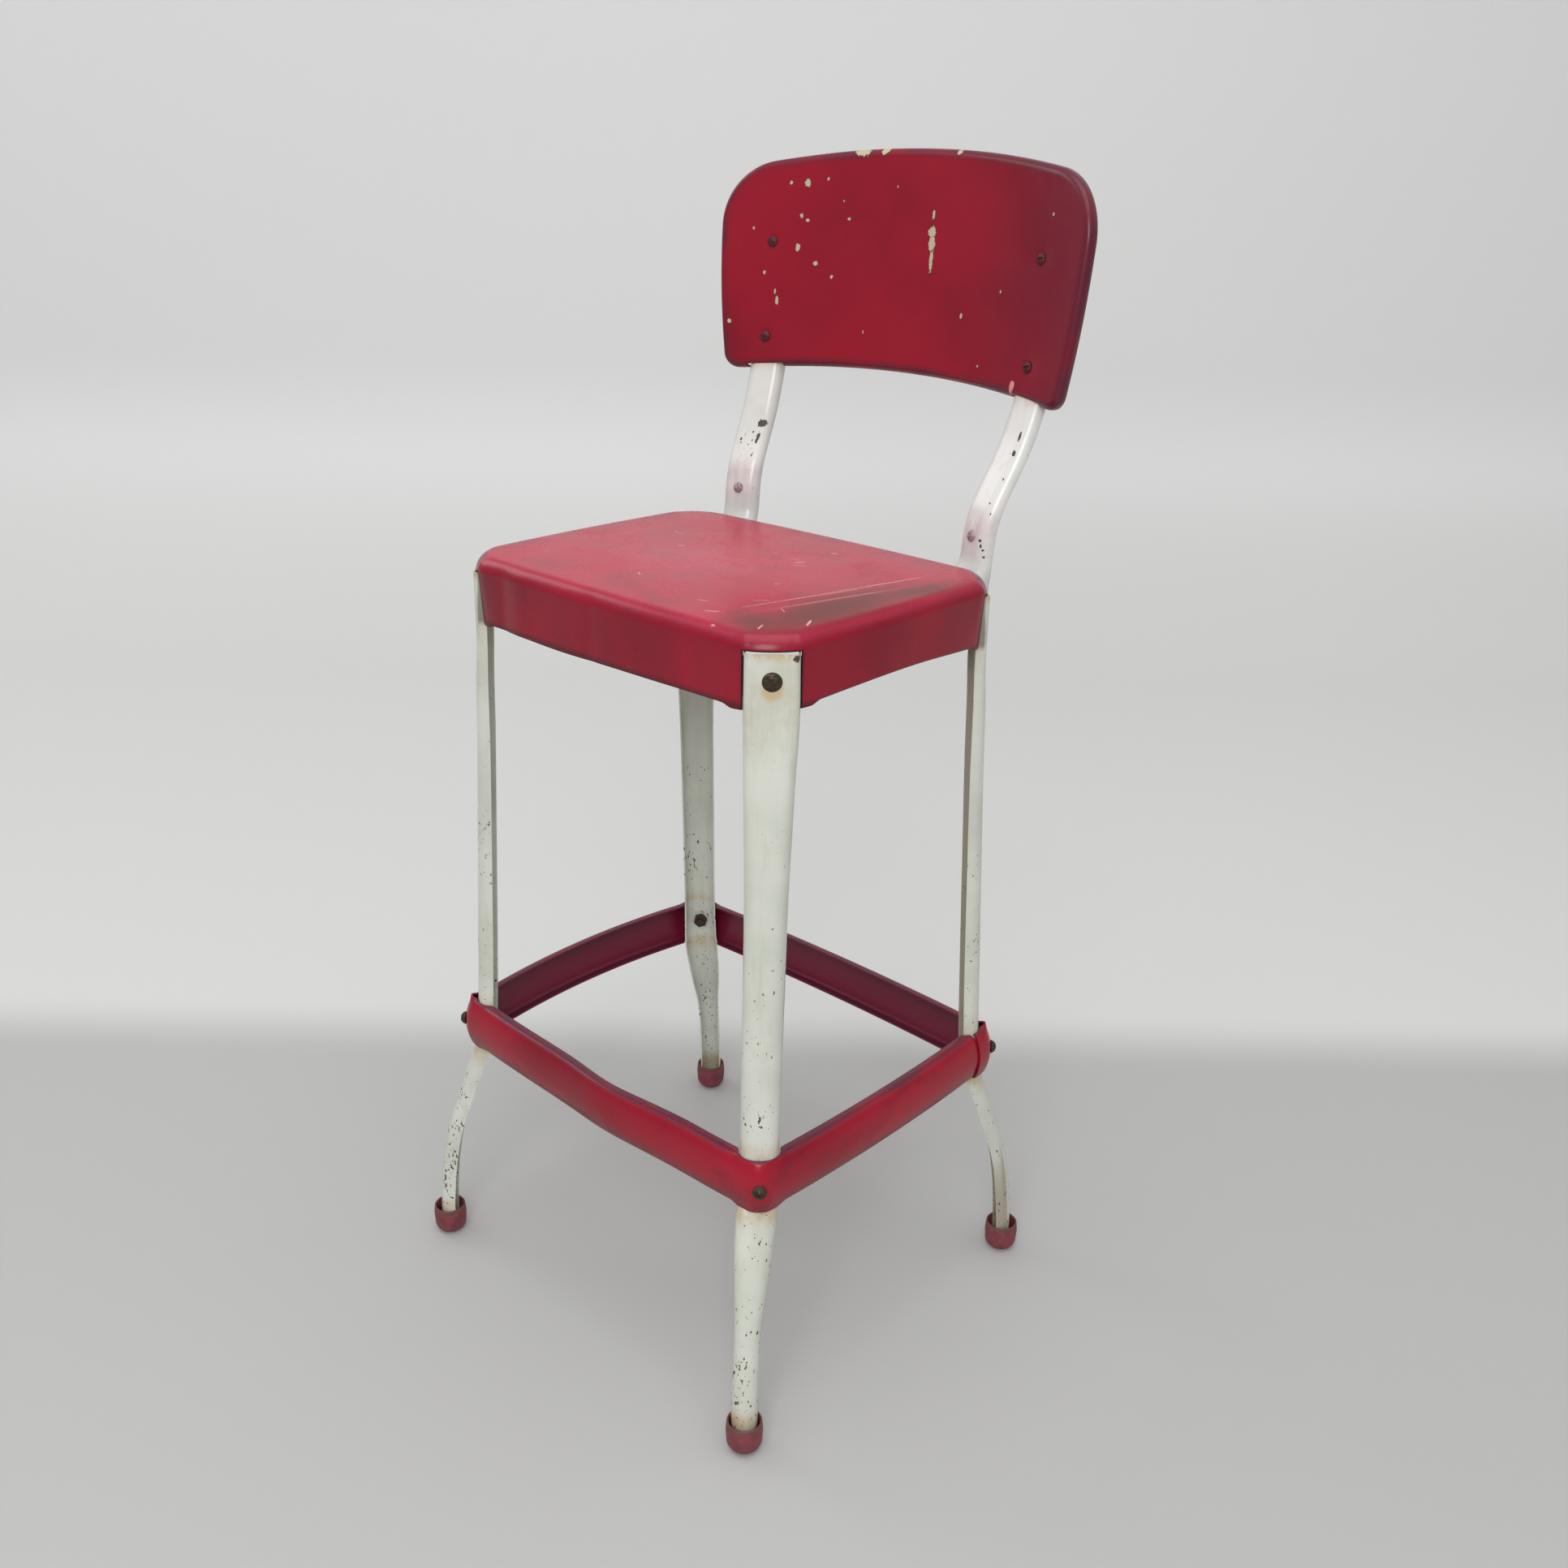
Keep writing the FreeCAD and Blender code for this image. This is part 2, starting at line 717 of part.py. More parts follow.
def on_cylinder(edge, radius):
    """Whether an edge lies all along on a cylinder about the panel's axis."""
    reach = [math.hypot(point.x, point.y + panel_radius) for point in edge.discretize(5)]
    return max(abs(value - radius) for value in reach) < touch_gap / 10


def back_panel():
    hollow = panel_block(panel_sheet, panel_rim + cut_overrun)
    panel = panel_block(0, panel_rim).cut(hollow)
    panel.rotate(vec(0, 0, 0), vec(1, 0, 0), -panel_recline_angle)
    panel.translate(vec(0, panel_lean_y, panel_lean_z))
    notch = post_notch()
    for sign in (-1, 1):
        panel = panel.cut(mirrored(notch, sign, 1))
        for z in (panel_low_screw_z, panel_high_screw_z):
            place, normal = panel_point(0, panel_screw_half_x, z)
            hole = hole_along(place, normal, panel_screw_hole, panel_rim)
            panel = panel.cut(mirrored(hole, sign, 1))
    return panel


# Back posts

def post_base():
    """Point of the back skirt where a post is screwed on, and its turn."""
    y = skirt_reach(seat_half_width, seat_half_depth, post_base_half_x)
    turn = math.asin(post_base_half_x / skirt_arc_radius(seat_half_width))
    return vec(post_base_half_x, y, 0), turn


def post_stations():
    """Face place, turn and depth of the post at +X, from the bottom up."""
    skirt, base_turn = post_base()
    base = skirt + vec(math.sin(base_turn), math.cos(base_turn), 0) * seat_gap
    bottom_z = skirt_bottom_z + post_base_rise
    base_top_z = bottom_z + post_base_length
    free_z = base_top_z + post_swing_rise
    free = vec(base.x, skirt.y + post_clear_of_skirt, 0)
    panel_turn = math.asin(panel_screw_half_x / panel_radius)
    rows = []

    def add(place, z, turn, depth):
        rows.append((vec(place.x, place.y, z), turn, depth))

    for share in post_base_shares:
        add(base, bottom_z + post_base_length * share, base_turn, post_base_depth)
    for rise_share, move_share in post_swing_shares + [(1, 1)]:
        turn = base_turn + (panel_turn - base_turn) * move_share
        depth = post_base_depth + (post_depth - post_base_depth) * move_share
        z = base_top_z + post_swing_rise * rise_share
        add(base + (free - base) * move_share, z, turn, depth)
    behind = panel_sheet + seat_gap
    bend_top = panel_point(behind, panel_screw_half_x, post_bend_end_z)[0]
    top = vec(bend_top.x, bend_top.y, 0)
    for rise_share, lean_share in post_lean_shares + [(1, 1)]:
        z = free_z + (post_bend_end_z - free_z) * rise_share
        add(free + (top - free) * lean_share, z, panel_turn, post_depth)
    for share in post_panel_shares + [1]:
        z = post_bend_end_z + (post_top_z - post_bend_end_z) * share
        add(panel_point(behind, panel_screw_half_x, z)[0], z, panel_turn, post_depth)
    return rows


def post_angle(turn):
    return -math.pi / 2 - turn


def post_loft(sheet, inset):
    wires = [channel_wire(face, post_angle(turn), post_width, depth, post_bend_radius,
                          sheet, inset)
             for face, turn, depth in post_stations()]
    return Part.makeLoft(wires, True, True)


def post_notch():
    """Room for a post where it passes the back panel's lower rim."""
    wires = []
    for face, turn, depth in post_stations():
        if abs(face.z - panel_bottom_z) > 3 * panel_rim:
            continue
        angle = post_angle(turn)
        behind = section_point(face, angle, 0, post_notch_gap)
        wires.append(envelope_wire(behind, angle, post_width, depth + panel_rim,
                                   post_bend_radius, post_notch_gap))
    return Part.makeLoft(wires, True, True)


def post_at(z):
    """The post's face and its outward normal at a height."""
    rows = post_stations()
    for lower, upper in zip(rows, rows[1:]):
        if lower[0].z <= z <= upper[0].z:
            run = upper[0] - lower[0]
            face = lower[0] + run * ((z - lower[0].z) / run.z)
            angle = post_angle(lower[1])
            sideways = vec(-math.sin(angle), math.cos(angle), 0)
            return face, sideways.cross(run).normalize()


def post_screw_places():
    """Skirt points of a post's screws at +X, and their axis towards the back."""
    skirt, turn = post_base()
    axis = vec(math.sin(turn), math.cos(turn), 0)
    low = skirt_bottom_z + post_screw_rise
    return [skirt + UP * z for z in (low, low + post_screw_pitch)], axis


def post_screw_holes():
    places, axis = post_screw_places()
    return [hole_along(place, axis, post_screw_hole, post_depth) for place in places]


def post_cuts():
    cuts = post_screw_holes()
    face, normal = post_at(rivet_z)
    cuts.append(hole_along(face, normal, rivet_hole, post_depth))
    for z in (panel_low_screw_z, panel_high_screw_z):
        place, normal = panel_point(0, panel_screw_half_x, z)
        cuts.append(hole_along(place, normal, panel_screw_hole, post_depth))
    return cuts


def back_post():
    post = post_loft(post_sheet, 0)
    for hole in post_cuts():
        post = post.cut(hole)
    return post


def post_stiffener():
    """A liner nested in the post's bend, held by its screws and its rivet."""
    liner = post_loft(stiffener_sheet, post_sheet + touch_gap)
    room = Part.makeBox(seat_half_width, panel_lean_y, stiffener_length,
                        vec(0, 0, stiffener_bottom_z))
    liner = liner.common(room)
    for hole in post_cuts():
        liner = liner.cut(hole)
    return liner


# Corner brackets inside the seat pan

def strip_face(points, thickness):
    """A bent strip of even thickness whose right edge follows the points."""
    edge = []
    for index, here in enumerate(points):
        runs = []
        if index > 0:
            runs.append((here - points[index - 1]).normalize())
        if index < len(points) - 1:
            runs.append((points[index + 1] - here).normalize())
        normals = [vec(-run.y, run.x, 0) for run in runs]
        mean = (normals[0] + normals[-1]).normalize()
        edge.append(here + mean * (thickness / mean.dot(normals[0])))
    return Part.Face(Part.makePolygon(points + edge[::-1] + [points[0]]))


def corner_bracket():
    """A hat-shaped strip behind the leg's face, welded inside both skirts."""
    face = corner_apex() + DIAGONAL * leg_proud
    sideways = vec(-DIAGONAL.y, DIAGONAL.x, 0)
    half = bracket_plate / 2
    plate_in = leg_sheet + touch_gap
    inset = seat_sheet + touch_gap
    side_x = seat_half_width - inset
    back_y = seat_half_depth - inset
    near_side = section_point(face, DIAGONAL_ANGLE, -half, bracket_reach)
    near_back = section_point(face, DIAGONAL_ANGLE, half, bracket_reach)
    on_side = near_side + sideways * ((side_x - near_side.x) / sideways.x)
    on_back = near_back + sideways * ((back_y - near_back.y) / sideways.y)
    side_end = on_side.y - bracket_tab
    back_end = on_back.x - bracket_tab
    points = [
        vec(skirt_reach(seat_half_depth, seat_half_width, side_end) - inset, side_end, 0),
        on_side,
        near_side,
        section_point(face, DIAGONAL_ANGLE, -half, plate_in),
        section_point(face, DIAGONAL_ANGLE, half, plate_in),
        near_back,
        on_back,
        vec(back_end, skirt_reach(seat_half_width, seat_half_depth, back_end) - inset, 0),
    ]
    bracket = strip_face(points, bracket_sheet).extrude(vec(0, 0, bracket_height))
    bracket.translate(vec(0, 0, seat_screw_z - bracket_height / 2))
    return bracket.cut(hole_along(leg_at(seat_screw_z)[0], DIAGONAL, bolt_hole, leg_depth))


# Fasteners, built along +Z with the head's underside at zero

def domed_head(diameter, height):
    radius = (diameter ** 2 / 4 + height ** 2) / (2 * height)
    ball = Part.makeSphere(radius, vec(0, 0, height - radius))
    return ball.common(Part.makeCylinder(diameter / 2, height, vec(0, 0, 0), UP))


def slotted_screw(head_diameter, head_height, diameter, length):
    slot = Part.makeBox(head_diameter, screw_slot_width, screw_slot_depth,
                        vec(-head_diameter / 2, -screw_slot_width / 2,
                            head_height - screw_slot_depth))
    shank = Part.makeCylinder(diameter / 2, length, vec(0, 0, -length), UP)
    return domed_head(head_diameter, head_height).cut(slot).fuse(shank).removeSplitter()


def hex_nut(across_flats, height, diameter):
    """A nut whose upper face is at zero, its flats facing along X."""
    circle = across_flats / math.sqrt(3)
    turns = [math.pi * (1 + 2 * step) / 6 for step in range(7)]
    points = [vec(circle * math.cos(turn), circle * math.sin(turn), -height) for turn in turns]
    body = Part.Face(Part.makePolygon(points)).extrude(vec(0, 0, height))
    return body.cut(Part.makeCylinder(diameter / 2, height, vec(0, 0, -height), UP))


def rivet(grip):
    head = domed_head(rivet_head, rivet_head_height)
    shank = Part.makeCylinder(rivet_diameter / 2, grip, vec(0, 0, -grip), UP)
    tail = domed_head(rivet_tail, rivet_tail_height).mirror(vec(0, 0, 0), UP)
    tail.translate(vec(0, 0, -grip))
    return head.fuse(shank).fuse(tail).removeSplitter()


def seat_fasteners():
    """Screw and nut at +X +Y, through the leg's face and its bracket."""
    face = leg_at(seat_screw_z)[0]
    grip = leg_sheet + bracket_sheet + 2 * touch_gap
    length = grip + nut_height + thread_end
    screw = slotted_screw(seat_screw_head, seat_screw_head_height, bolt_diameter, length)
    nut = hex_nut(nut_across_flats, nut_height, bolt_diameter)
    return placed(screw, face, DIAGONAL), placed(nut, face - DIAGONAL * grip, DIAGONAL)


def ring_fasteners(step):
    """Bolt and nut at +X +Y, through the ring and the leg's face."""
    seat = ring_seat(step)
    face, width, bend = leg_at(ring_height)
    inner_bend = bend - leg_sheet
    overhang = nut_across_flats / math.sqrt(3) - (width / 2 - bend)
    dip = inner_bend - math.sqrt(inner_bend ** 2 - overhang ** 2)
    under = face - DIAGONAL * (leg_sheet + dip + touch_gap)
    length = (seat - under).Length + nut_height + thread_end
    bolt = slotted_screw(ring_bolt_head, ring_bolt_head_height, bolt_diameter, length)
    nut = hex_nut(nut_across_flats, nut_height, bolt_diameter)
    return placed(bolt, seat, DIAGONAL), placed(nut, under, DIAGONAL)


def post_fasteners():
    """The two screws and nuts that hold a post's foot to the pan."""
    places, axis = post_screw_places()
    behind = seat_gap + post_sheet + stiffener_sheet + 2 * touch_gap
    inside = seat_sheet + bracket_sheet + 3 * touch_gap
    length = behind + inside + post_screw_nut_height + thread_end
    screw = slotted_screw(post_screw_head, post_screw_head_height, post_screw_diameter, length)
    nut = hex_nut(post_screw_nut, post_screw_nut_height, post_screw_diameter)
    screws = [placed(screw, place + axis * behind, axis) for place in places]
    nuts = [placed(nut, place - axis * inside, axis) for place in places]
    return screws, nuts


def panel_fasteners():
    """The two screws and nuts that hold the panel to a post."""
    grip = panel_sheet + post_sheet + 2 * seat_gap
    length = grip + panel_screw_nut_height + thread_end
    screw = slotted_screw(panel_screw_head, panel_screw_head_height,
                          panel_screw_diameter, length)
    nut = hex_nut(panel_screw_nut, panel_screw_nut_height, panel_screw_diameter)
    screws = []
    nuts = []
    for z in (panel_low_screw_z, panel_high_screw_z):
        place, normal = panel_point(0, panel_screw_half_x, z)
        screws.append(placed(screw, place + normal * touch_gap, normal))
        nuts.append(placed(nut, place - normal * grip, normal))
    return screws, nuts


def post_rivet():
    face, normal = post_at(rivet_z)
    grip = post_sheet + stiffener_sheet + 3 * touch_gap
    return placed(rivet(grip), face + normal * touch_gap, normal)


def both_sides(shapes):
    return Part.makeCompound([mirrored(shape, sign, 1) for shape in shapes for sign in (-1, 1)])


def all_corners(shape):
    return Part.makeCompound([mirrored(shape, sx, sy) for sx, sy in CORNERS.values()])


def main():
    os.makedirs("parts", exist_ok=True)
    export(seat_pan(), "seat_pan")
    leg = leg_solid()
    cap = foot_cap()
    bracket = corner_bracket()
    screw_cuts = Part.makeCompound(post_screw_holes())
    for name, (sign_x, sign_y) in CORNERS.items():
        export(mirrored(leg, sign_x, sign_y), "leg_" + name)
        export(mirrored(cap, sign_x, sign_y), "foot_cap_" + name)
        strip = bracket.cut(screw_cuts) if sign_y > 0 else bracket
        export(mirrored(strip, sign_x, sign_y), "corner_bracket_" + name)
    post = back_post()
    liner = post_stiffener()
    for name, sign in (("left", -1), ("right", 1)):
        export(mirrored(post, sign, 1), "back_post_" + name)
        export(mirrored(liner, sign, 1), "post_stiffener_" + name)
    export(back_panel(), "backrest_panel")
    export(ring_piece(2), "foot_ring_front")
    export(ring_piece(0), "foot_ring_back")
    seat_screw, seat_nut = seat_fasteners()
    export(all_corners(seat_screw), "seat_screws")
    export(all_corners(seat_nut), "seat_screw_nuts")
    single_bolt, ring_nut = ring_fasteners(0)
    lapped_bolt = ring_fasteners(ring_sheet + touch_gap)[0]
    lapped = [mirrored(lapped_bolt, sign, sign) for sign in (-1, 1)]
    single = [mirrored(single_bolt, sign, -sign) for sign in (-1, 1)]
    export(Part.makeCompound(lapped + single), "ring_bolts")
    export(all_corners(ring_nut), "ring_nuts")
    screws, nuts = post_fasteners()
    export(both_sides(screws), "post_screws")
    export(both_sides(nuts), "post_nuts")
    screws, nuts = panel_fasteners()
    export(both_sides(screws), "backrest_screws")
    export(both_sides(nuts), "backrest_nuts")
    export(both_sides([post_rivet()]), "post_rivets")


main()
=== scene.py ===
# %% [markdown]
# # An enamelled steel bar stool
# The stool is pressed from thin sheet steel: a deep seat pan, four channel
# legs, a bolted foot ring, two bent posts and a curved back panel. The solids
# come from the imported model. This lesson gives them their surfaces, and makes
# the pieces again whose pressed forms are softer than a solid model shows.
import math
import bpy
import numpy as np
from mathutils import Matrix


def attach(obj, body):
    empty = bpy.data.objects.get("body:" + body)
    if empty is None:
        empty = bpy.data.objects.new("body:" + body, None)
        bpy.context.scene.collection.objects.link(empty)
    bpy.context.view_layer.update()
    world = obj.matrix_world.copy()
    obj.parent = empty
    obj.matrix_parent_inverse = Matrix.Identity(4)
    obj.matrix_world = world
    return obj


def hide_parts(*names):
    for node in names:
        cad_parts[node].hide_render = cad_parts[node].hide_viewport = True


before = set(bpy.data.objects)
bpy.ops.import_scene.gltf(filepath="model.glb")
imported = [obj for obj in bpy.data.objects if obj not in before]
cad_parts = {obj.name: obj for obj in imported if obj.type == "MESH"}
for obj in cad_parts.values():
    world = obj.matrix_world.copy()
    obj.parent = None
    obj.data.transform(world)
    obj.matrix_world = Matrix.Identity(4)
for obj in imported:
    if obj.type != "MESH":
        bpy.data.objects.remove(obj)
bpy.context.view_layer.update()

MM = 0.001
print("nodes", sorted(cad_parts))


# %% [markdown]
# ## Colours and shader nodes
# Paint colours are given as sRGB hex codes, while a shader wants
# linear light, so one function turns one into the other. Two more add a node
# of any kind and give it its inputs, and the rest are the sums used most.

# %% Colour and node helpers
def paint(code):
    """sRGB hex to linear RGBA: c/12.92 below 0.04045, else ((c+0.055)/1.055)^2.4."""
    values = np.array([int(code[i:i + 2], 16) for i in (1, 3, 5)]) / 255.0
    linear = np.where(values <= 0.04045, values / 12.92, ((values + 0.055) / 1.055) ** 2.4)
    return (*linear.tolist(), 1.0)


def feed(tree, node, inputs):
    """Gives a node its inputs. A socket is linked, any other value is set."""
    for name, value in inputs.items():
        if isinstance(value, bpy.types.NodeSocket):
            tree.links.new(value, node.inputs[name])
        else:
            node.inputs[name].default_value = value


def add(tree, kind, inputs=None, **settings):
    """Adds one node with its settings and inputs."""
    made = tree.nodes.new(kind)
    for name, value in settings.items():
        setattr(made, name, value)
    feed(tree, made, inputs or {})
    return made


def math_of(tree, operation, first, second=0.5):
    """One operation on one or two values, each a socket or a number."""
    return add(tree, "ShaderNodeMath", {0: first, 1: second}, operation=operation).outputs[0]


def times(tree, value, *factors):
    """The product of sockets and numbers."""
    for factor in factors:
        value = math_of(tree, "MULTIPLY", value, factor)
    return value


def fade(tree, value, low, high, out_low=0.0, out_high=1.0):
    """Smooth step: out_low where value is at low, out_high where it is at high."""
    return add(tree, "ShaderNodeMapRange",
               {"Value": value, "From Min": low, "From Max": high, "To Min": out_low,
                "To Max": out_high}, interpolation_type="SMOOTHSTEP").outputs["Result"]


def blend(tree, amount, under, over):
    """The colour under where amount is 0, the colour over where it is 1."""
    return add(tree, "ShaderNodeMix", {"Factor": amount, 6: under, 7: over},
               data_type="RGBA").outputs[2]


def noise(tree, place, size_mm, detail=2.0, roughness=0.5, stretch=(1, 1, 1)):
    """Noise whose lumps are about size_mm wide, drawn out by stretch."""
    scaled = add(tree, "ShaderNodeVectorMath", {0: place, 1: stretch}, operation="MULTIPLY")
    return add(tree, "ShaderNodeTexNoise",
               {"Vector": scaled.outputs[0], "Scale": 1.0 / (size_mm * MM), "Detail": detail,
                "Roughness": roughness}).outputs["Fac"]


def spot(tree, place, centre, halves, turns=(0, 0, 0)):
    """Distance from a spot's middle, 1 on the ellipse whose half sizes in mm are given,
    turned by some degrees about x, y and z."""
    made = add(tree, "ShaderNodeMapping",
               {"Vector": place, "Location": [value * MM for value in centre],
                "Rotation": [math.radians(value) for value in turns],
                "Scale": [value * MM for value in halves]}, vector_type="TEXTURE")
    return add(tree, "ShaderNodeVectorMath", {0: made.outputs[0]},
               operation="LENGTH").outputs["Value"]


def facing_of(tree):
    """x, y and z of the way the surface faces, each from -1 to 1."""
    normal = add(tree, "ShaderNodeNewGeometry").outputs["Normal"]
    return add(tree, "ShaderNodeSeparateXYZ", {0: normal}).outputs


def bumped(tree, height, strength, depth_mm, under=None, invert=False):
    """The surface direction as tipped by a height from 0 to 1 that stands for
    depth_mm, on top of an earlier such direction if one is given."""
    made = add(tree, "ShaderNodeBump", {"Height": height, "Strength": strength,
                                        "Distance": depth_mm * MM}, invert=invert)
    if under is not None:
        tree.links.new(under, made.inputs["Normal"])
    return made.outputs[0]


def new_finish(name):
    """A new material, its tree and shader, the place on the object, and its x, y, z."""
    material = bpy.data.materials.new(name)
    material.use_nodes = True
    tree = material.node_tree
    shader = tree.nodes["Principled BSDF"]
    place = add(tree, "ShaderNodeTexCoord").outputs["Object"]
    xyz = add(tree, "ShaderNodeSeparateXYZ", {0: place}).outputs
    return material, tree, shader, place, xyz


print("white", [round(v, 3) for v in paint("#D9DACF")])


# %% [markdown]
# ## White stoving enamel on the legs and posts
# Enamel paint baked on steel is glossy and slightly wavy. Decades of use chip
# it into dark specks, most of them low down where shoes and mops reach, and
# rust bleeds yellow out of every joint.

# %% White enamel
SEAT_CORNER = (126.0, 85.5)  # middle of the circle that rounds a seat corner, in mm
ACROSS = SEAT_CORNER[0] - SEAT_CORNER[1]  # x - y on the plane that cuts a corner in two


def beside_slot(tree, xyz):
    """Distance in metres of a point from the plane that cuts a corner and its leg in two."""
    out_x = math_of(tree, "ABSOLUTE", xyz["X"])
    out_y = math_of(tree, "ABSOLUTE", xyz["Y"])
    apart = math_of(tree, "SUBTRACT", math_of(tree, "SUBTRACT", out_x, out_y), ACROSS * MM)
    return math_of(tree, "ABSOLUTE", times(tree, apart, math.sqrt(0.5)))


def white_enamel(name, white, shade, stains_and_reflections, speck_top, chips, seamed=False):
    """White paint with stains, painted reflections and chips from the tables below. Specks get
    fewer up to speck_top in mm. seamed adds rust at a leg's top screw, a dark line by its slot
    that is painted gap shade and dirt, and darkening inside the back right leg's channel."""
    material, tree, shader, place, xyz = new_finish(name)
    z = xyz["Z"]
    tone = noise(tree, place, 55, 3)
    colour = blend(tree, fade(tree, tone, 0.35, 0.7), paint(white), paint(shade))
    cloud = noise(tree, place, 11, 4, 0.65)
    streak = noise(tree, place, 9, 3, 0.6, (1, 1, 0.12))
    colour = blend(tree, fade(tree, streak, 0.52, 0.8, 0, 0.35), colour, paint("#B4AF98"))
    torn = fade(tree, times(tree, math_of(tree, "ADD", cloud, streak), 0.5), 0.32, 0.68)
    for height, up, down, strength, tint in stains_and_reflections:
        above = fade(tree, z, height * MM, (height + up) * MM, 1, 0)
        below = fade(tree, z, (height - down) * MM, height * MM, 0, 1)
        colour = blend(tree, times(tree, above, below, torn, strength), colour, paint(tint))
    if seamed:
        corner = add(tree, "ShaderNodeVectorMath", {0: place}, operation="ABSOLUTE").outputs[0]
        ring = math_of(tree, "ADD", spot(tree, corner, (154.9, 114.4, 575), (8, 8, 9.5)),
                       times(tree, cloud, 1.4))
        colour = blend(tree, fade(tree, ring, 1.9, 1.3, 0, 0.55), colour, paint("#C39A52"))
        # painted shade of the gap between leg and slot, with some dirt: a dark line beside the
        # slot
        side = fade(tree, beside_slot(tree, xyz), 0.0177, 0.0184, 0, 0.75)
        gap_shade_and_dirt = times(tree, side, fade(tree, z, 0.556, 0.562, 0, 0.85))
        colour = blend(tree, gap_shade_and_dirt, colour, paint("#3A2420"))
        # the back right leg is darker inside its channel, on the far flange
        faces = facing_of(tree)
        skew = math_of(tree, "SUBTRACT", faces["X"], faces["Y"])
        where = math_of(tree, "SUBTRACT", math_of(tree, "SUBTRACT", xyz["X"], xyz["Y"]),
                        ACROSS * MM)
        least = math_of(tree, "MINIMUM", xyz["X"], xyz["Y"])
        inside = times(tree, fade(tree, skew, 0.9, 1.2), fade(tree, where, -0.002, -0.006),
                       fade(tree, least, 0.05, 0.1, 0, 0.85))
        colour = blend(tree, inside, colour, paint("#9A8F7E"))
    worn = fade(tree, z, 0.0, speck_top * MM, 0.13, 0.01)
    fine = noise(tree, place, 2.6, 2, 0.6, (1, 1, 0.7))
    patch = times(tree, fade(tree, noise(tree, place, 38, 2), 0.45, 0.75), 0.10)
    limit = math_of(tree, "SUBTRACT", 0.80, math_of(tree, "ADD", worn, patch))
    over = math_of(tree, "SUBTRACT", fine, limit)
    ragged = times(tree, noise(tree, place, 2.4, 3, 0.6), 1.6)
    for values in chips:
        reach = math_of(tree, "ADD", spot(tree, place, values[:3], values[3:]), ragged)
        over = math_of(tree, "MAXIMUM", over, fade(tree, reach, 1.95, 1.55, -0.04, 0.04))
    halo = fade(tree, over, -0.03, 0.02)
    chip = fade(tree, over, 0.0, 0.012)
    colour = blend(tree, times(tree, halo, 0.35), colour, paint("#A98F62"))
    colour = blend(tree, chip, colour, paint("#4A4236"))
    bare = math_of(tree, "MAXIMUM", chip, gap_shade_and_dirt) if seamed else chip
    wave = bumped(tree, noise(tree, place, 14, 2), 0.25, 0.25)
    feed(tree, shader, {"Base Color": colour, "Roughness": fade(tree, bare, 0, 1, 0.2, 0.7),
                        "Normal": bumped(tree, chip, 0.6, 0.12, wave, invert=True), "IOR": 1.5})
    return material


# height, reach up and reach down in mm, strength and colour of each stain or painted reflection
LEG_STAINS = [(570, 40, 80, 0.45, "#B0A684"), (599, 3, 9, 1.0, "#BE9555"),
              (231, 14, 4, 0.55, "#BE9C6C"), (187, 6, 20, 0.75, "#BE9555"),
              (28, 12, 26, 0.75, "#BE9555")]
# the second post entry, a pink band just above the seat, is a painted reflection of the red seat
POST_STAINS_AND_REFLECTION = [(731, 4, 12, 0.7, "#BE9C6C"), (640, 16, 44, 0.5, "#C0A0AA")]
# middle x, y and z and half sizes along them, in mm, of each large dark chip
LEG_CHIPS = [(166, -103, 595, 2.6, 2.6, 2.4), (163, -109, 597, 1.6, 1.6, 1.0)]
POST_CHIPS = [
    (-119, 162, 681, 3.6, 9, 3.4), (-118, 158, 669, 1.6, 9, 5.5),
    (-117.5, 155, 656, 1.2, 9, 6.0), (-122, 158, 668, 1.2, 9, 1.6),
    (-124, 156, 664, 1.0, 9, 1.2), (-117, 150, 645, 1.0, 9, 3.5),
    (-135, 150, 640, 0.9, 9, 2.2), (138, 160, 690, 1.6, 9, 2.4),
    (-132, 152, 668, 1.0, 9, 1.4), (-120, 158, 662, 2.6, 9, 1.5),
    (-131, 155, 665, 1.7, 9, 1.2), (-127, 155, 661, 1.2, 9, 1.0),
    (-124, 160, 674, 1.0, 9, 1.3), (-130, 158, 671, 0.8, 9, 2.0),
    (132, 140, 628, 1.5, 12, 1.2), (133, 140, 624, 1.1, 12, 1.8),
    (135, 140, 621, 1.3, 12, 1.0), (136, 150, 648, 1.2, 12, 1.6),
    (133, 150, 655, 1.0, 12, 1.3), (136, 140, 616, 1.0, 12, 1.3),
    (139, 165, 702, 1.0, 12, 3.4), (137, 160, 672, 0.9, 12, 1.5)]
leg_white = white_enamel("leg_white_enamel", "#D6D8CE", "#C8CBBF", LEG_STAINS, 640, LEG_CHIPS,
                         seamed=True)
post_white = white_enamel("post_white_enamel", "#DDDEDA", "#CFD1CC", POST_STAINS_AND_REFLECTION, 60, POST_CHIPS)
print("white finishes", leg_white.name, post_white.name)
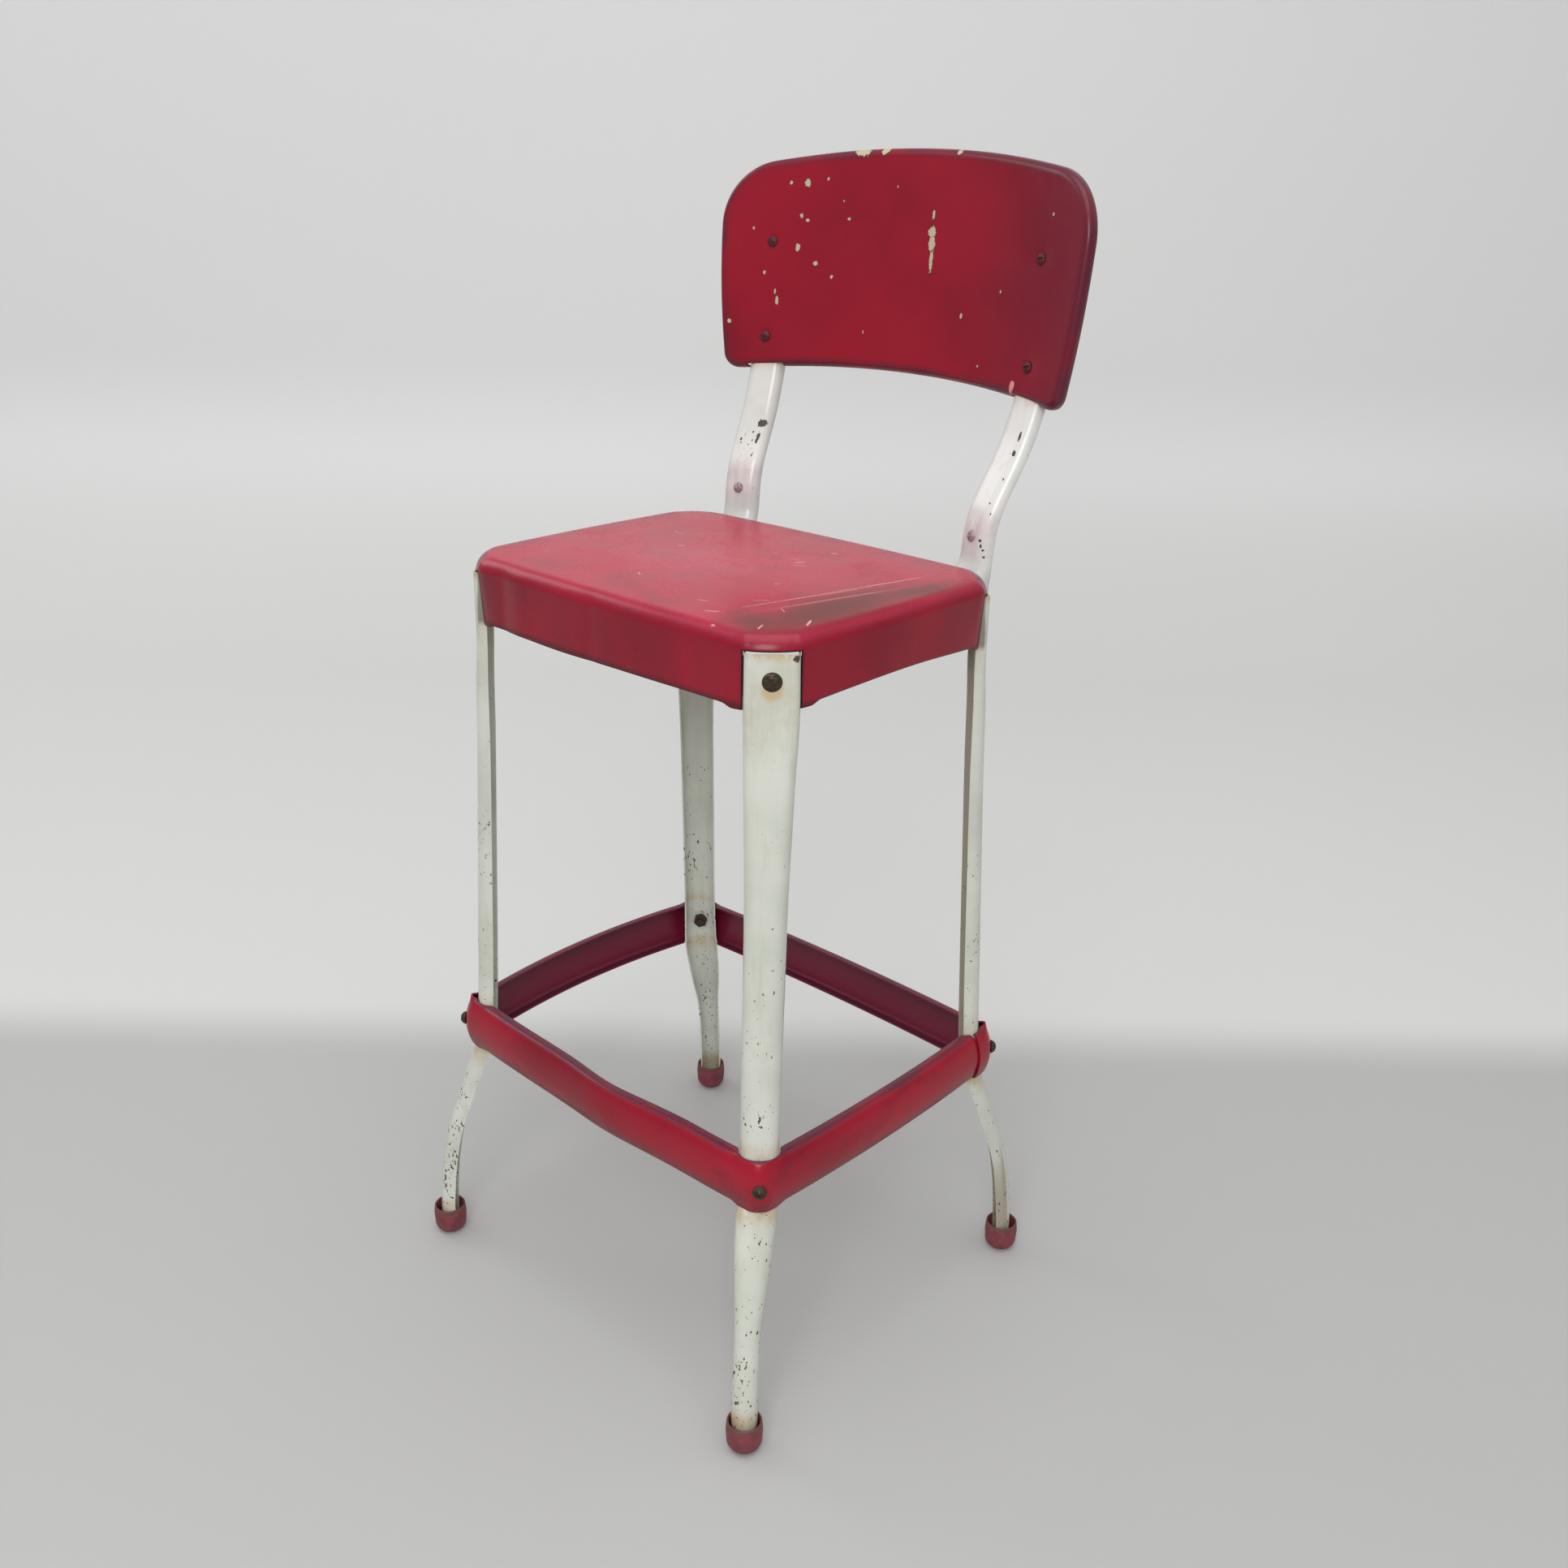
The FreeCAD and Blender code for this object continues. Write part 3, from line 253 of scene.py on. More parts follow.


# %% [markdown]
# ## Red enamel on the pan, ring and panel
# The red coat is thinner. Where it faces up it turns pink, partly faded and
# partly a painted sheen. Painted shade and painted dark reflections lie along
# edges and sides, and where it is knocked off the cream undercoat shows.

# %% Red enamel
def red_enamel(name, base, deep, faded_and_sheen, fade_and_sheen_up, roughness=0.2, dents_mm=0.2):
    """Starts a red coat. Returns its parts, so that wear, painted shade and painted reflections
    can be laid over it.
    """
    material, tree, shader, place, xyz = new_finish(name)
    tone = noise(tree, place, 120, 3, 0.5)
    colour = blend(tree, fade(tree, tone, 0.35, 0.7), paint(base), paint(deep))
    faces = facing_of(tree)
    cloud = noise(tree, place, 45, 5, 0.62)
    # upward faces turn pinker: partly faded paint, partly a painted sheen
    up = times(tree, fade(tree, faces["Z"], 0.3, 0.95), fade_and_sheen_up,
               fade(tree, cloud, 0.3, 0.65, 0.75, 1.0))
    colour = blend(tree, up, colour, paint(faded_and_sheen))
    fine = noise(tree, place, 4, 4, 0.7)
    colour = blend(tree, fade(tree, fine, 0.66, 0.85, 0, 0.4), colour, paint(deep))
    rough = fade(tree, cloud, 0.35, 0.75, roughness, roughness + 0.08)
    wave = bumped(tree, noise(tree, place, 16, 2), 0.15, 0.2)
    dents = bumped(tree, noise(tree, place, 60, 1, 0.4, (1, 1, 0.5)), 0.5, dents_mm, wave)
    feed(tree, shader, {"IOR": 1.5, "Specular IOR Level": 0.35, "Normal": dents})
    return {"material": material, "tree": tree, "shader": shader, "place": place, "xyz": xyz,
            "colour": colour, "rough": rough, "cloud": cloud, "faces": faces}


def lay(coat, amount, colour, rough=None):
    """Lays a colour, and a roughness if one is given, over a coat by an amount."""
    tree = coat["tree"]
    coat["colour"] = blend(tree, amount, coat["colour"], paint(colour))
    if rough is not None:
        mixed = add(tree, "ShaderNodeMix", {"Factor": amount, 2: coat["rough"], 3: rough})
        coat["rough"] = mixed.outputs[0]


def marks(coat, places, ragged, start, end):
    """How far each point lies in any of some ragged-edged spots, 0 to 1."""
    tree, nearest = coat["tree"], None
    for values in places:
        reach = spot(tree, coat["place"], *values)
        nearest = reach if nearest is None else math_of(tree, "MINIMUM", nearest, reach)
    torn = math_of(tree, "ADD", nearest, times(tree, ragged, 1.3))
    return fade(tree, torn, start, end)


def flecks(coat, size_mm, low, high, most, colour="#5B1522"):
    """Lays small dark flecks over a coat."""
    fine = noise(coat["tree"], coat["place"], size_mm, 3, 0.7)
    lay(coat, fade(coat["tree"], fine, low, high, 0, most), colour)


def finish_coat(coat):
    """Links a coat's last colour and roughness to its shader."""
    feed(coat["tree"], coat["shader"], {"Base Color": coat["colour"],
                                        "Roughness": coat["rough"]})
    return coat["material"]


# %% The panel's chips, painted shade and painted reflections
PANEL_SCREWS = [(x, z) for x in (-132.6, 132.6) for z in (750.0, 825.0)]
# middle x and z, half width and half height of each chip, in mm
PANEL_CHIPS = [
    (-119.7, 870.6, 1.2, 1.6), (-105, 870.5, 2.2, 3.4), (-86.3, 874, 0.9, 1.5),
    (-107.8, 846, 1.3, 1.8), (-102.3, 842.4, 1.6, 1.2), (-63.9, 844.7, 1.2, 1.2),
    (-109.2, 821.3, 1.8, 3.0), (-91.7, 810, 1.8, 1.9), (-75.2, 800.2, 1.3, 1.4),
    (-137.8, 800.8, 1.2, 1.5), (-124.6, 778.9, 1.4, 4.2), (-127, 786, 0.8, 2.0),
    (-165.6, 760.5, 1.6, 1.8), (18.3, 850.6, 1.1, 3.6), (18.6, 838, 3.1, 4.6),
    (19.2, 830, 2.6, 7.0), (20.2, 817, 1.7, 8.0), (57, 779.6, 1.1, 2.2),
    (140, 855.7, 0.8, 1.2), (-56.9, 894.6, 6.5, 3.2), (-35.8, 896, 3.4, 3.0),
    (36, 895.6, 2.2, 1.8), (-70, 858, 0.7, 1.0), (-20, 870, 0.6, 0.9), (95, 800, 0.7, 1.1),
    (-150, 835, 0.8, 1.2), (80, 745, 0.9, 0.8), (-40, 760, 0.6, 1.4)]


def on_panel(x, z, half_x, half_z, turn=0):
    """A spot on the panel, which reaches right through it."""
    return (x, 0, z), (half_x, 9000, half_z), (0, turn, 0)


coat = red_enamel("panel_red_enamel", "#951329", "#7C1023", "#8A2036", 0.4, 0.21)
tree = coat["tree"]
ragged = noise(tree, coat["place"], 2.2, 3, 0.6)
# painted dark reflection: the right side of the curved panel turns darker purple
lay(coat, fade(tree, coat["xyz"]["X"], 0.02, 0.17, 0, 0.45), "#6C1430")
# painted dark reflection along the rolled rim, where the edge attribute is high
edge = add(tree, "ShaderNodeAttribute", attribute_name="edge").outputs["Fac"]
dark_rim_reflection = times(tree, fade(tree, edge, 0.35, 1.0),
               fade(tree, coat["cloud"], 0.35, 0.62, 0.35, 0.9))
lay(coat, dark_rim_reflection, "#57202F", 0.32)
flecks(coat, 1.3, 0.72, 0.76, 0.55)
# painted shade in the shallow dimples round the four screws
screws = marks(coat, [on_panel(x, z, 6.4, 6.4) for x, z in PANEL_SCREWS], ragged, 1.75, 0.9)
lay(coat, times(tree, screws, 0.75), "#3E1219", 0.4)
in_front = fade(tree, coat["faces"]["Y"], 0.15, -0.05)
chipped = [on_panel(x, z, 1.45 * wide, 1.3 * tall) for x, z, wide, tall in PANEL_CHIPS]
drip = [on_panel(119, 735.2, 2.6, 4.6, 12), on_panel(118, 728, 1.8, 6)]
for places, start, end, colour, rough in ((chipped, 1.62, 1.50, "#54201F", None),
                                          (chipped, 1.44, 1.34, "#BDB094", 0.55),
                                          (drip, 1.6, 1.5, "#D98E93", 0.3)):
    lay(coat, times(tree, in_front, marks(coat, places, ragged, start, end)), colour, rough)
panel_red = finish_coat(coat)
print("panel chips", len(PANEL_CHIPS))

# %% The seat's wear, painted shade and painted reflections
SEAT_TOP = 610.0
# middle x and y, half sizes along x and y, and turn in degrees of each scratch, in mm
SCRATCHES = [
    (106.9, -32.4, 0.5, 60, -14), (119, 30, 0.6, 50, -12), (87.9, -101.4, 6.5, 0.8, 32),
    (134.8, -104.8, 0.8, 5.5, 25), (6.8, 45.7, 3.2, 0.8, 20), (38.8, 36.6, 5.5, 0.9, 60),
    (46, 30, 6.5, 0.45, 35), (30, 42, 5.0, 0.4, 8), (92, -60, 7.0, 0.4, 48),
    (64, -88, 6.0, 0.45, 20), (118, -66, 0.4, 6, 60), (-96, 40, 8, 0.35, -15),
    (36.9, 78.2, 3.8, 0.9, 10), (107.5, -121, 2.2, 1.4, 0), (150, -75, 1.0, 7, 30),
    (-60, 10, 4, 0.6, 75), (-20, -70, 4.5, 0.6, -30), (70, -20, 3, 0.6, 50)]
GRIME = [(139, -42, 27, 88, 0), (124, -98, 32, 24, -20), (150, 45, 15, 50, -6)]


def on_seat(x, y, half_x, half_y, turn, half_z=40):
    """A spot on the seat's top."""
    return (x, y, SEAT_TOP), (half_x, half_y, half_z), (0, 0, turn)


coat = red_enamel("seat_red_enamel", "#9A132A", "#841126", "#BC2240", 0.85, 0.24, 0.6)
tree, place, xyz, facing = coat["tree"], coat["place"], coat["xyz"], coat["faces"]["Z"]
coat["shader"].inputs["Specular IOR Level"].default_value = 0.29
ragged = noise(tree, place, 3.0, 3, 0.6)
broad = noise(tree, place, 26, 4, 0.6)
on_top = fade(tree, facing, 0.75, 0.97)
# painted shade of the gap round each leg's slot, with some dirt: a dark line along the slot's
# edges above the leg
gap = times(tree, fade(tree, beside_slot(tree, xyz), 0.0208, 0.0196),
            fade(tree, xyz["Z"], 0.6006, 0.5994))
lay(coat, times(tree, gap, 0.9), "#2A1016", 0.5)
# a pale pink patch on the top, partly faded paint and partly a painted sheen
pale = marks(coat, [on_seat(-15, -15, 95, 60, 20, 60)], broad, 2.0, 0.6)
lay(coat, times(tree, pale, on_top, 0.18), "#D8708A")
# painted dark reflections: the rolled edge goes dark purple, most along the back and left sides
far = math_of(tree, "MAXIMUM", fade(tree, xyz["Y"], 0.085, 0.118),
              fade(tree, xyz["X"], -0.130, -0.158))
roll = times(tree, fade(tree, facing, 0.2, 0.6), fade(tree, facing, 1.0, 0.93),
             fade(tree, far, 0, 1, 0.25, 0.95))
blots = noise(tree, place, 40, 5, 0.65)
lay(coat, times(tree, on_top, fade(tree, blots, 0.52, 0.70, 0, 0.42)), "#8A1830")
lay(coat, times(tree, roll, fade(tree, broad, 0.35, 0.6, 0.6, 1.0)), "#47203A")
# painted dark reflection on the top near the back and left edges
far_margin_reflection = times(tree, far, on_top, fade(tree, broad, 0.4, 0.65, 0.1, 0.5))
lay(coat, far_margin_reflection, "#6A2A40")
haze = spot(tree, place, *on_seat(139, -30, 34, 105, 0, 60))
haze = times(tree, fade(tree, haze, 1.15, 0.35), on_top)
lay(coat, times(tree, haze, fade(tree, broad, 0.3, 0.6, 0.3, 0.6)), "#6E3A3C", 0.4)
grime = marks(coat, [on_seat(*values) for values in GRIME], broad, 1.95, 0.65)
lay(coat, times(tree, on_top, 0.72, grime), "#5A4038", 0.4)
# painted reflection: purple grey upright streaks on the skirts, strongest at the left
bands = noise(tree, place, 30, 4, 0.6, (1, 1, 0.18))
left = fade(tree, xyz["X"], 0.03, -0.14, 0.35, 1.0)
upright = fade(tree, facing, 0.3, 0.05)
lay(coat, times(tree, left, upright, fade(tree, bands, 0.34, 0.64, 0.15, 0.5)), "#4C2836", 0.3)
worn = marks(coat, [on_seat(*values) for values in SCRATCHES], ragged, 1.62, 1.42)
lay(coat, times(tree, worn, on_top), "#D9A9A8", 0.4)
smear = marks(coat, [on_seat(124, -18, 2.4, 88, -13)], broad, 1.7, 0.9)
lay(coat, times(tree, smear, on_top, 0.5), "#C58A84")
flecks(coat, 1.5, 0.72, 0.76, 0.5)
lay(coat, fade(tree, xyz["Z"], 0.566, 0.5605, 0, 0.75), "#4A1420", 0.4)
seat_red = finish_coat(coat)

# %% The ring's wear, painted shade and painted reflections
RING_MIDDLE = 208.2  # height of the ring's middle line, in mm
coat = red_enamel("ring_red_enamel", "#A0142A", "#820F24", "#A62A42", 0.0, 0.2)
tree, place, facing = coat["tree"], coat["place"], coat["faces"]["Z"]
# painted shade: faces turned in towards the ring's middle go dark purple
outwards = add(tree, "ShaderNodeVectorMath", {0: place, 1: (0, 0, RING_MIDDLE * MM)},
               operation="SUBTRACT").outputs[0]
normal = add(tree, "ShaderNodeNewGeometry").outputs["Normal"]
aim = add(tree, "ShaderNodeVectorMath", {0: normal, 1: outwards},
          operation="DOT_PRODUCT").outputs["Value"]
lay(coat, fade(tree, aim, 0.01, -0.03, 0, 0.75), "#5E1632", 0.33)
blots = noise(tree, place, 34, 4, 0.6, (1, 1, 1.6))
lay(coat, fade(tree, blots, 0.50, 0.68, 0, 0.38), "#6A132C")
# painted dark reflection on the upward-facing lips
upper = times(tree, fade(tree, facing, 0.55, 0.95),
              fade(tree, coat["cloud"], 0.3, 0.6, 0.45, 0.9))
lay(coat, upper, "#5A2538", 0.3)
scuffs = noise(tree, place, 7, 4, 0.7, (0.5, 0.5, 1.6))
lay(coat, fade(tree, scuffs, 0.66, 0.74, 0, 0.5), "#6B2A2E", 0.4)
bare = noise(tree, place, 2.4, 3, 0.65)
lay(coat, fade(tree, bare, 0.755, 0.775), "#B9A892", 0.5)
# painted shade: downward faces go darker
under = times(tree, fade(tree, facing, -0.05, -0.5),
              fade(tree, coat["cloud"], 0.3, 0.6, 0.5, 0.9))
lay(coat, under, "#4E1226", 0.35)
flecks(coat, 1.5, 0.70, 0.75, 0.5, "#4B1520")
ring_red = finish_coat(coat)
print("red finishes", seat_red.name, panel_red.name, ring_red.name)


# %% [markdown]
# ## Steel and rubber
# Hidden nuts and brackets are dull zinc plate, the outside screws are browned
# with rust, those of the panel were painted over with it, and the foot caps
# are red rubber gone matt and dirty at the rim.

# %% Steel and rubber finishes
def plain_metal(name, colour, dark, roughness, metallic, grain_mm):
    """Metal, or paint on it, in two tones with the darker spots rougher."""
    material, tree, shader, place, xyz = new_finish(name)
    spots = fade(tree, noise(tree, place, grain_mm, 4, 0.65), 0.4, 0.65)
    feed(tree, shader, {"Base Color": blend(tree, spots, paint(colour), paint(dark)),
                        "Roughness": fade(tree, spots, 0, 1, roughness, roughness + 0.3),
                        "Metallic": metallic, "Normal": bumped(tree, spots, 0.2, 0.1)})
    return material


zinc = plain_metal("dull_zinc_plate", "#B4B4AE", "#A6A59F", 0.42, 0.6, 9.0)
browned = plain_metal("rust_browned_steel", "#4A3A2C", "#2B211A", 0.5, 0.4, 1.4)
painted_over = plain_metal("painted_over_screw", "#5A1620", "#3C1219", 0.55, 0.0, 1.6)
# the post rivets are white paint, coloured darker pinkish grey as painted shade and a painted
# pink reflection of the seat
rivet_white_in_shade = plain_metal("painted_rivet", "#A8959A", "#7E666E", 0.35, 0.0, 2.5)


def aged_rubber(name):
    """Faded rubber with dirt at the rim and dust in its pores."""
    material, tree, shader, place, xyz = new_finish(name)
    tone = noise(tree, place, 9, 4, 0.6)
    colour = blend(tree, fade(tree, tone, 0.35, 0.7), paint("#843841"), paint("#6A2F38"))
    ragged = times(tree, noise(tree, place, 5, 3), 0.012)
    dirt = fade(tree, math_of(tree, "ADD", xyz["Z"], ragged), 25 * MM, 31 * MM, 0, 0.7)
    colour = blend(tree, dirt, colour, paint("#5A443A"))
    dust = fade(tree, noise(tree, place, 3, 4, 0.7), 0.55, 0.75, 0, 0.4)
    colour = blend(tree, dust, colour, paint("#94706C"))
    feed(tree, shader, {"Base Color": colour, "Roughness": 0.58,
                        "Normal": bumped(tree, tone, 0.3, 0.3)})
    return material


rubber = aged_rubber("aged_red_rubber")
print("others", zinc.name, browned.name, painted_over.name, rubber.name)


# %% [markdown]
# ## Pressed sheet as a grid of points
# Sheet steel has an even thickness, so only its outer face is worked out, as
# a grid of points, and a Solidify modifier gives it the inner face and the
# cut edge. A box that is bevelled could make it too, but not the soft rolls,
# dents and twists that a press and some decades leave.

# %% Grid to piece
def new_piece(name, points, faces, finish):
    """A smooth piece of points in metres and the faces between them."""
    mesh = bpy.data.meshes.new(name)
    mesh.from_pydata(points.tolist(), [], faces)
    mesh.polygons.foreach_set("use_smooth", np.ones(len(mesh.polygons), dtype=bool))
    mesh.materials.append(finish)
    piece = bpy.data.objects.new(name, mesh)
    bpy.context.collection.objects.link(piece)
    return piece


def grid_piece(name, rows, finish, nodes, sheet=0.0, loop=False, pole=None,
               drop=None, flip=False, inner_pole=None, marked=None):
    """A piece from points laid out as (row, column, xyz) in mm.

    sheet is the thickness that the sheet gets on its inner side. loop joins the last
    column to the first, pole closes the last row on one point and inner_pole the first
    one, drop marks the faces left out, and flip turns the faces over. marked holds one
    value from 0 to 1 per row, kept as the attribute "edge"."""
    high, wide = rows.shape[:2]
    number = np.arange(high * wide).reshape(high, wide)
    if loop:
        number = np.hstack([number, number[:, :1]])
    quads = np.stack([number[:-1, :-1], number[:-1, 1:], number[1:, 1:], number[1:, :-1]],
                     axis=-1)
    if drop is not None:
        quads = quads[~drop]
    faces = quads.reshape(-1, 4).tolist()
    points = rows.reshape(-1, 3)
    for tip, line in ((pole, number[-1]), (inner_pole, number[0][::-1])):
        if tip is not None:
            points = np.vstack([points, tip])
            middle = np.full(len(line) - 1, len(points) - 1)
            faces += np.stack([line[:-1], line[1:], middle], axis=1).tolist()
    used = np.unique([corner for face in faces for corner in face])
    fresh = np.full(len(points), -1)
    fresh[used] = np.arange(len(used))
    faces = [fresh[face].tolist() for face in faces]
    if flip:
        faces = [face[::-1] for face in faces]
    piece = new_piece(name, points[used] * MM, faces, finish)
    if marked is not None:
        worth = np.append(np.repeat(marked, wide), np.zeros(len(points) - high * wide))[used]
        piece.data.attributes.new("edge", "FLOAT", "POINT").data.foreach_set("value", worth)
    if sheet:
        wall = piece.modifiers.new("sheet", "SOLIDIFY")
        wall.thickness = sheet * MM
        wall.offset = -1.0
    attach(piece, "root")
    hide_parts(*nodes)
    low, top = points[used].min(axis=0), points[used].max(axis=0)
    print(name, len(faces), "faces, mm", low.round(1).tolist(), top.round(1).tolist())


# %% [markdown]
# ## The outline that pan, panel and ring share
# Each is a rectangle whose corners are round and whose sides bow a little.
# Written as arcs that touch, it is smooth all round, and each point knows
# which way is outwards.

# %% Bowed outline
def bowed_outline(corners, radii, bows):
    """Points, outward angles and lengths along four corner circles joined by touching
    arcs, and the lengths at which each corner and each side ends.

    A side that bows by b over a half span h has the radius (h^2 + b^2) / 2b plus the mean
    corner radius. Its centre is where two circles about the corners meet, each with that
    radius less the corner's own. Every point is centre + radius (cos a, sin a)."""
    corners = np.array(corners, dtype=float)
    sides = []
    for index in range(4):
        first, second = corners[index], corners[(index + 1) % 4]
        one, two, bow = radii[index], radii[(index + 1) % 4], bows[index]
        gap = np.hypot(*(second - first))
        big = ((gap / 2) ** 2 + bow ** 2) / (2 * bow) + (one + two) / 2
        along = (gap ** 2 + (big - one) ** 2 - (big - two) ** 2) / (2 * gap)
        across = math.copysign(math.sqrt((big - one) ** 2 - along ** 2), bow)
        run = (second - first) / gap
        sides.append((first + run * along + np.array([-run[1], run[0]]) * across, big))
    points, angles, marks = [], [], []
    for index in range(4):
        spans = []
        for side, corner in ((index - 1, index), (index, index), (index, (index + 1) % 4)):
            centre, big = sides[side]
            way = (corners[corner] - centre) / (big - radii[corner])
            spans.append(math.atan2(way[1], way[0]))
        turn = (spans[1] - spans[0]) % (2 * math.pi)
        drift = (spans[2] - spans[1] + math.pi) % (2 * math.pi) - math.pi
        for centre, radius, start, sweep in (
                (corners[index], radii[index], spans[0], turn),
                (sides[index][0], sides[index][1], spans[1], drift)):
            angle = start + sweep * np.linspace(0, 1, 200, endpoint=False)
            points.append(centre + radius * np.stack([np.cos(angle), np.sin(angle)], axis=1))
            angles.append(angle)
            marks.append(len(angles) * 200)
    points, angles = np.concatenate(points), np.unwrap(np.concatenate(angles))
    steps = np.hypot(*(np.roll(points, -1, axis=0) - points).T)
    lengths = np.concatenate([[0], np.cumsum(steps)])
    points = np.vstack([points, points[:1]])
    angles = np.append(angles, angles[0] + 2 * math.pi)
    return points, angles, lengths, [lengths[mark] for mark in marks]


def walk(outline, places):
    """Points and outward directions at lengths along a closed outline, past its ends too."""
    points, angles, lengths = outline[:3]
    place = np.mod(places, lengths[-1])
    x = np.interp(place, lengths, points[:, 0])
    y = np.interp(place, lengths, points[:, 1])
    angle = np.interp(place, lengths, angles)
    return np.stack([x, y], axis=1), np.stack([np.cos(angle), np.sin(angle)], axis=1)


# %% [markdown]
# ## Seat pan
# The pan is drawn from one sheet: a crowned top, an edge rolled down all
# round and deep skirts. A slot is cut in each corner for a leg. There the
# press left the corner nearly flat, as wide as the leg, so the skirts flare
# out to it and the roll becomes a slope with a crease at each end.

# %% Seat pan
# in mm: a corner's radius and half its slot's width, the heights where skirt and
# roll start, how far in the roll reaches, and how much the middle of the top rises
CORNER_RADIUS, SLOT_HALF = 40.0, 19.2
SKIRT_FOOT, ROLL_FOOT, ROLL_WIDE, CROWN = 560.6, 598.95, 11.0, 0.9
SLOT_STEPS, SIDE_STEPS = 28, 80


def soft_step(value):
    """3 t^2 - 2 t^3, where t is the value kept between 0 and 1."""
    value = np.clip(value, 0, 1)
    return value * value * (3 - 2 * value)


def bell(value, middle, width):
    """e^-((value - middle) / width)^2, which is 1 in the middle and fades on both sides."""
    return np.exp(-((value - middle) / width) ** 2)


def pan_rows():
    """Rings of the outline, up the skirt, round the roll and in to the middle.
    Near a slot points move along the corner's diagonal, a quarter of the way to a
    flat: 40 - sqrt(40^2 - a^2) at a across it, dying away beyond its edges. Lower
    down they tuck in instead, by 2.6 mm at the skirt's foot."""
    x, y = SEAT_CORNER
    outline = bowed_outline([(x, y), (-x, y), (-x, -y), (x, -y)], [CORNER_RADIUS] * 4, [2.5] * 4)
    half = math.asin(SLOT_HALF / CORNER_RADIUS)
    slot_share = np.linspace(0, 1, SLOT_STEPS, endpoint=False)
    side_share = np.linspace(0, 1, SIDE_STEPS, endpoint=False)
    side_share = 0.55 * (0.5 - 0.5 * np.cos(math.pi * side_share)) + 0.45 * side_share
    places = []
    for index in range(4):
        middle = math.pi / 4 + index * math.pi / 2
        ends = np.interp([middle - half, middle + half, middle + math.pi / 2 - half],
                         outline[1], outline[2])
        if index == 3:  # the last side ends past the outline's first point
            ends[2] = outline[2][-1] + np.interp(math.pi / 4 - half, outline[1], outline[2])
        places += [ends[0] + (ends[1] - ends[0]) * slot_share,
                   ends[1] + (ends[2] - ends[1]) * side_share]
    places = np.concatenate(places)
    slots = np.tile(np.repeat([True, False], [SLOT_STEPS, SIDE_STEPS]), 4)
    line, outwards = walk(outline, places)
    x, y, front = line[:, 0], line[:, 1], outwards[:, 1] < -0.9
    across = np.abs(np.abs(x) - np.abs(y) - ACROSS) / math.sqrt(2)
    beyond = np.maximum(across - SLOT_HALF, 0)
    flare = CORNER_RADIUS - np.sqrt(CORNER_RADIUS ** 2 - np.minimum(across, SLOT_HALF) ** 2)
    flare = 0.25 * flare * bell(beyond, 0, 10)
    bottom = SKIRT_FOOT - 2.4 * soft_step((13.5 - beyond) / 7.0)
    bottom = bottom + 5.4 * bell(y, 0, 90) * np.clip(outwards[:, 0] * 5 - 4, 0, 1)
    bottom = bottom - 1.4 * bell(x, -40, 50) * front
    up = np.linspace(0, 1, 20)[:, None]
    skirt = bottom + (ROLL_FOOT - bottom) * up
    angle = np.linspace(0, math.pi / 2, 11)[1:, None]
    slope = 0.18 * soft_step((19.6 - across) / 5.0)
    run = angle / (math.pi / 2) * slope
    inset = ROLL_WIDE * ((1 - np.cos(angle)) * (1 - slope) + run)
    rise = ROLL_FOOT + (SEAT_TOP - ROLL_FOOT) * (np.sin(angle) * (1 - slope) + run)
    keep = np.concatenate([np.ones_like(up), np.cos(angle) ** 2])
    tuck = 2.6 * bell(beyond, 0, 8) * np.concatenate([1 - up, 0 * angle])
    dents = 0.6 * bell(x, -90, 12) - 0.5 * bell(x, -108, 8) - 0.5 * bell(x, -8, 7)
    dents = dents * front + 0.2 * np.sin(places / 17.0)
    dents = dents * np.clip((beyond - 8.0) / 16.0, 0, 1)
    outward = dents * keep - np.concatenate([0 * skirt, inset])
    plan = (line + outwards * outward[..., None]
            + np.sign(line) / math.sqrt(2) * (flare * keep - tuck)[..., None])
    shrink = np.linspace(1, 0, 36)[1:-1, None]
    top = plan[-1] * shrink[..., None]
    waves = 0.12 * np.sin(top[..., 0] / 21) * np.sin(top[..., 1] / 16)
    crown = CROWN * (1 - shrink ** 2) + waves * np.minimum(1, 4 * (1 - shrink))
    z = np.concatenate([skirt, rise, SEAT_TOP + crown])
    rows = np.concatenate([np.concatenate([plan, top]), z[..., None]], axis=-1)
    cut = np.zeros((len(rows) - 1, len(places)), dtype=bool)
    cut[:len(up) - 1] = slots
    return rows, cut


rows, cut = pan_rows()
grid_piece("pan", rows, seat_red, ["seat_pan"], sheet=1.2, loop=True,
           pole=(0.0, 0.0, SEAT_TOP + CROWN), drop=cut)


# %% [markdown]
# ## Foot caps
# Each cap is a moulded rubber cup with a thick round bottom that a leg stands
# in. Rubber under load for decades swells at its waist. A lathe profile turned
# about an upright line gives that.

# %% Foot caps
FOOT_X, FOOT_Y, CAP_FLOOR = 182.7, 161.8, 5.5


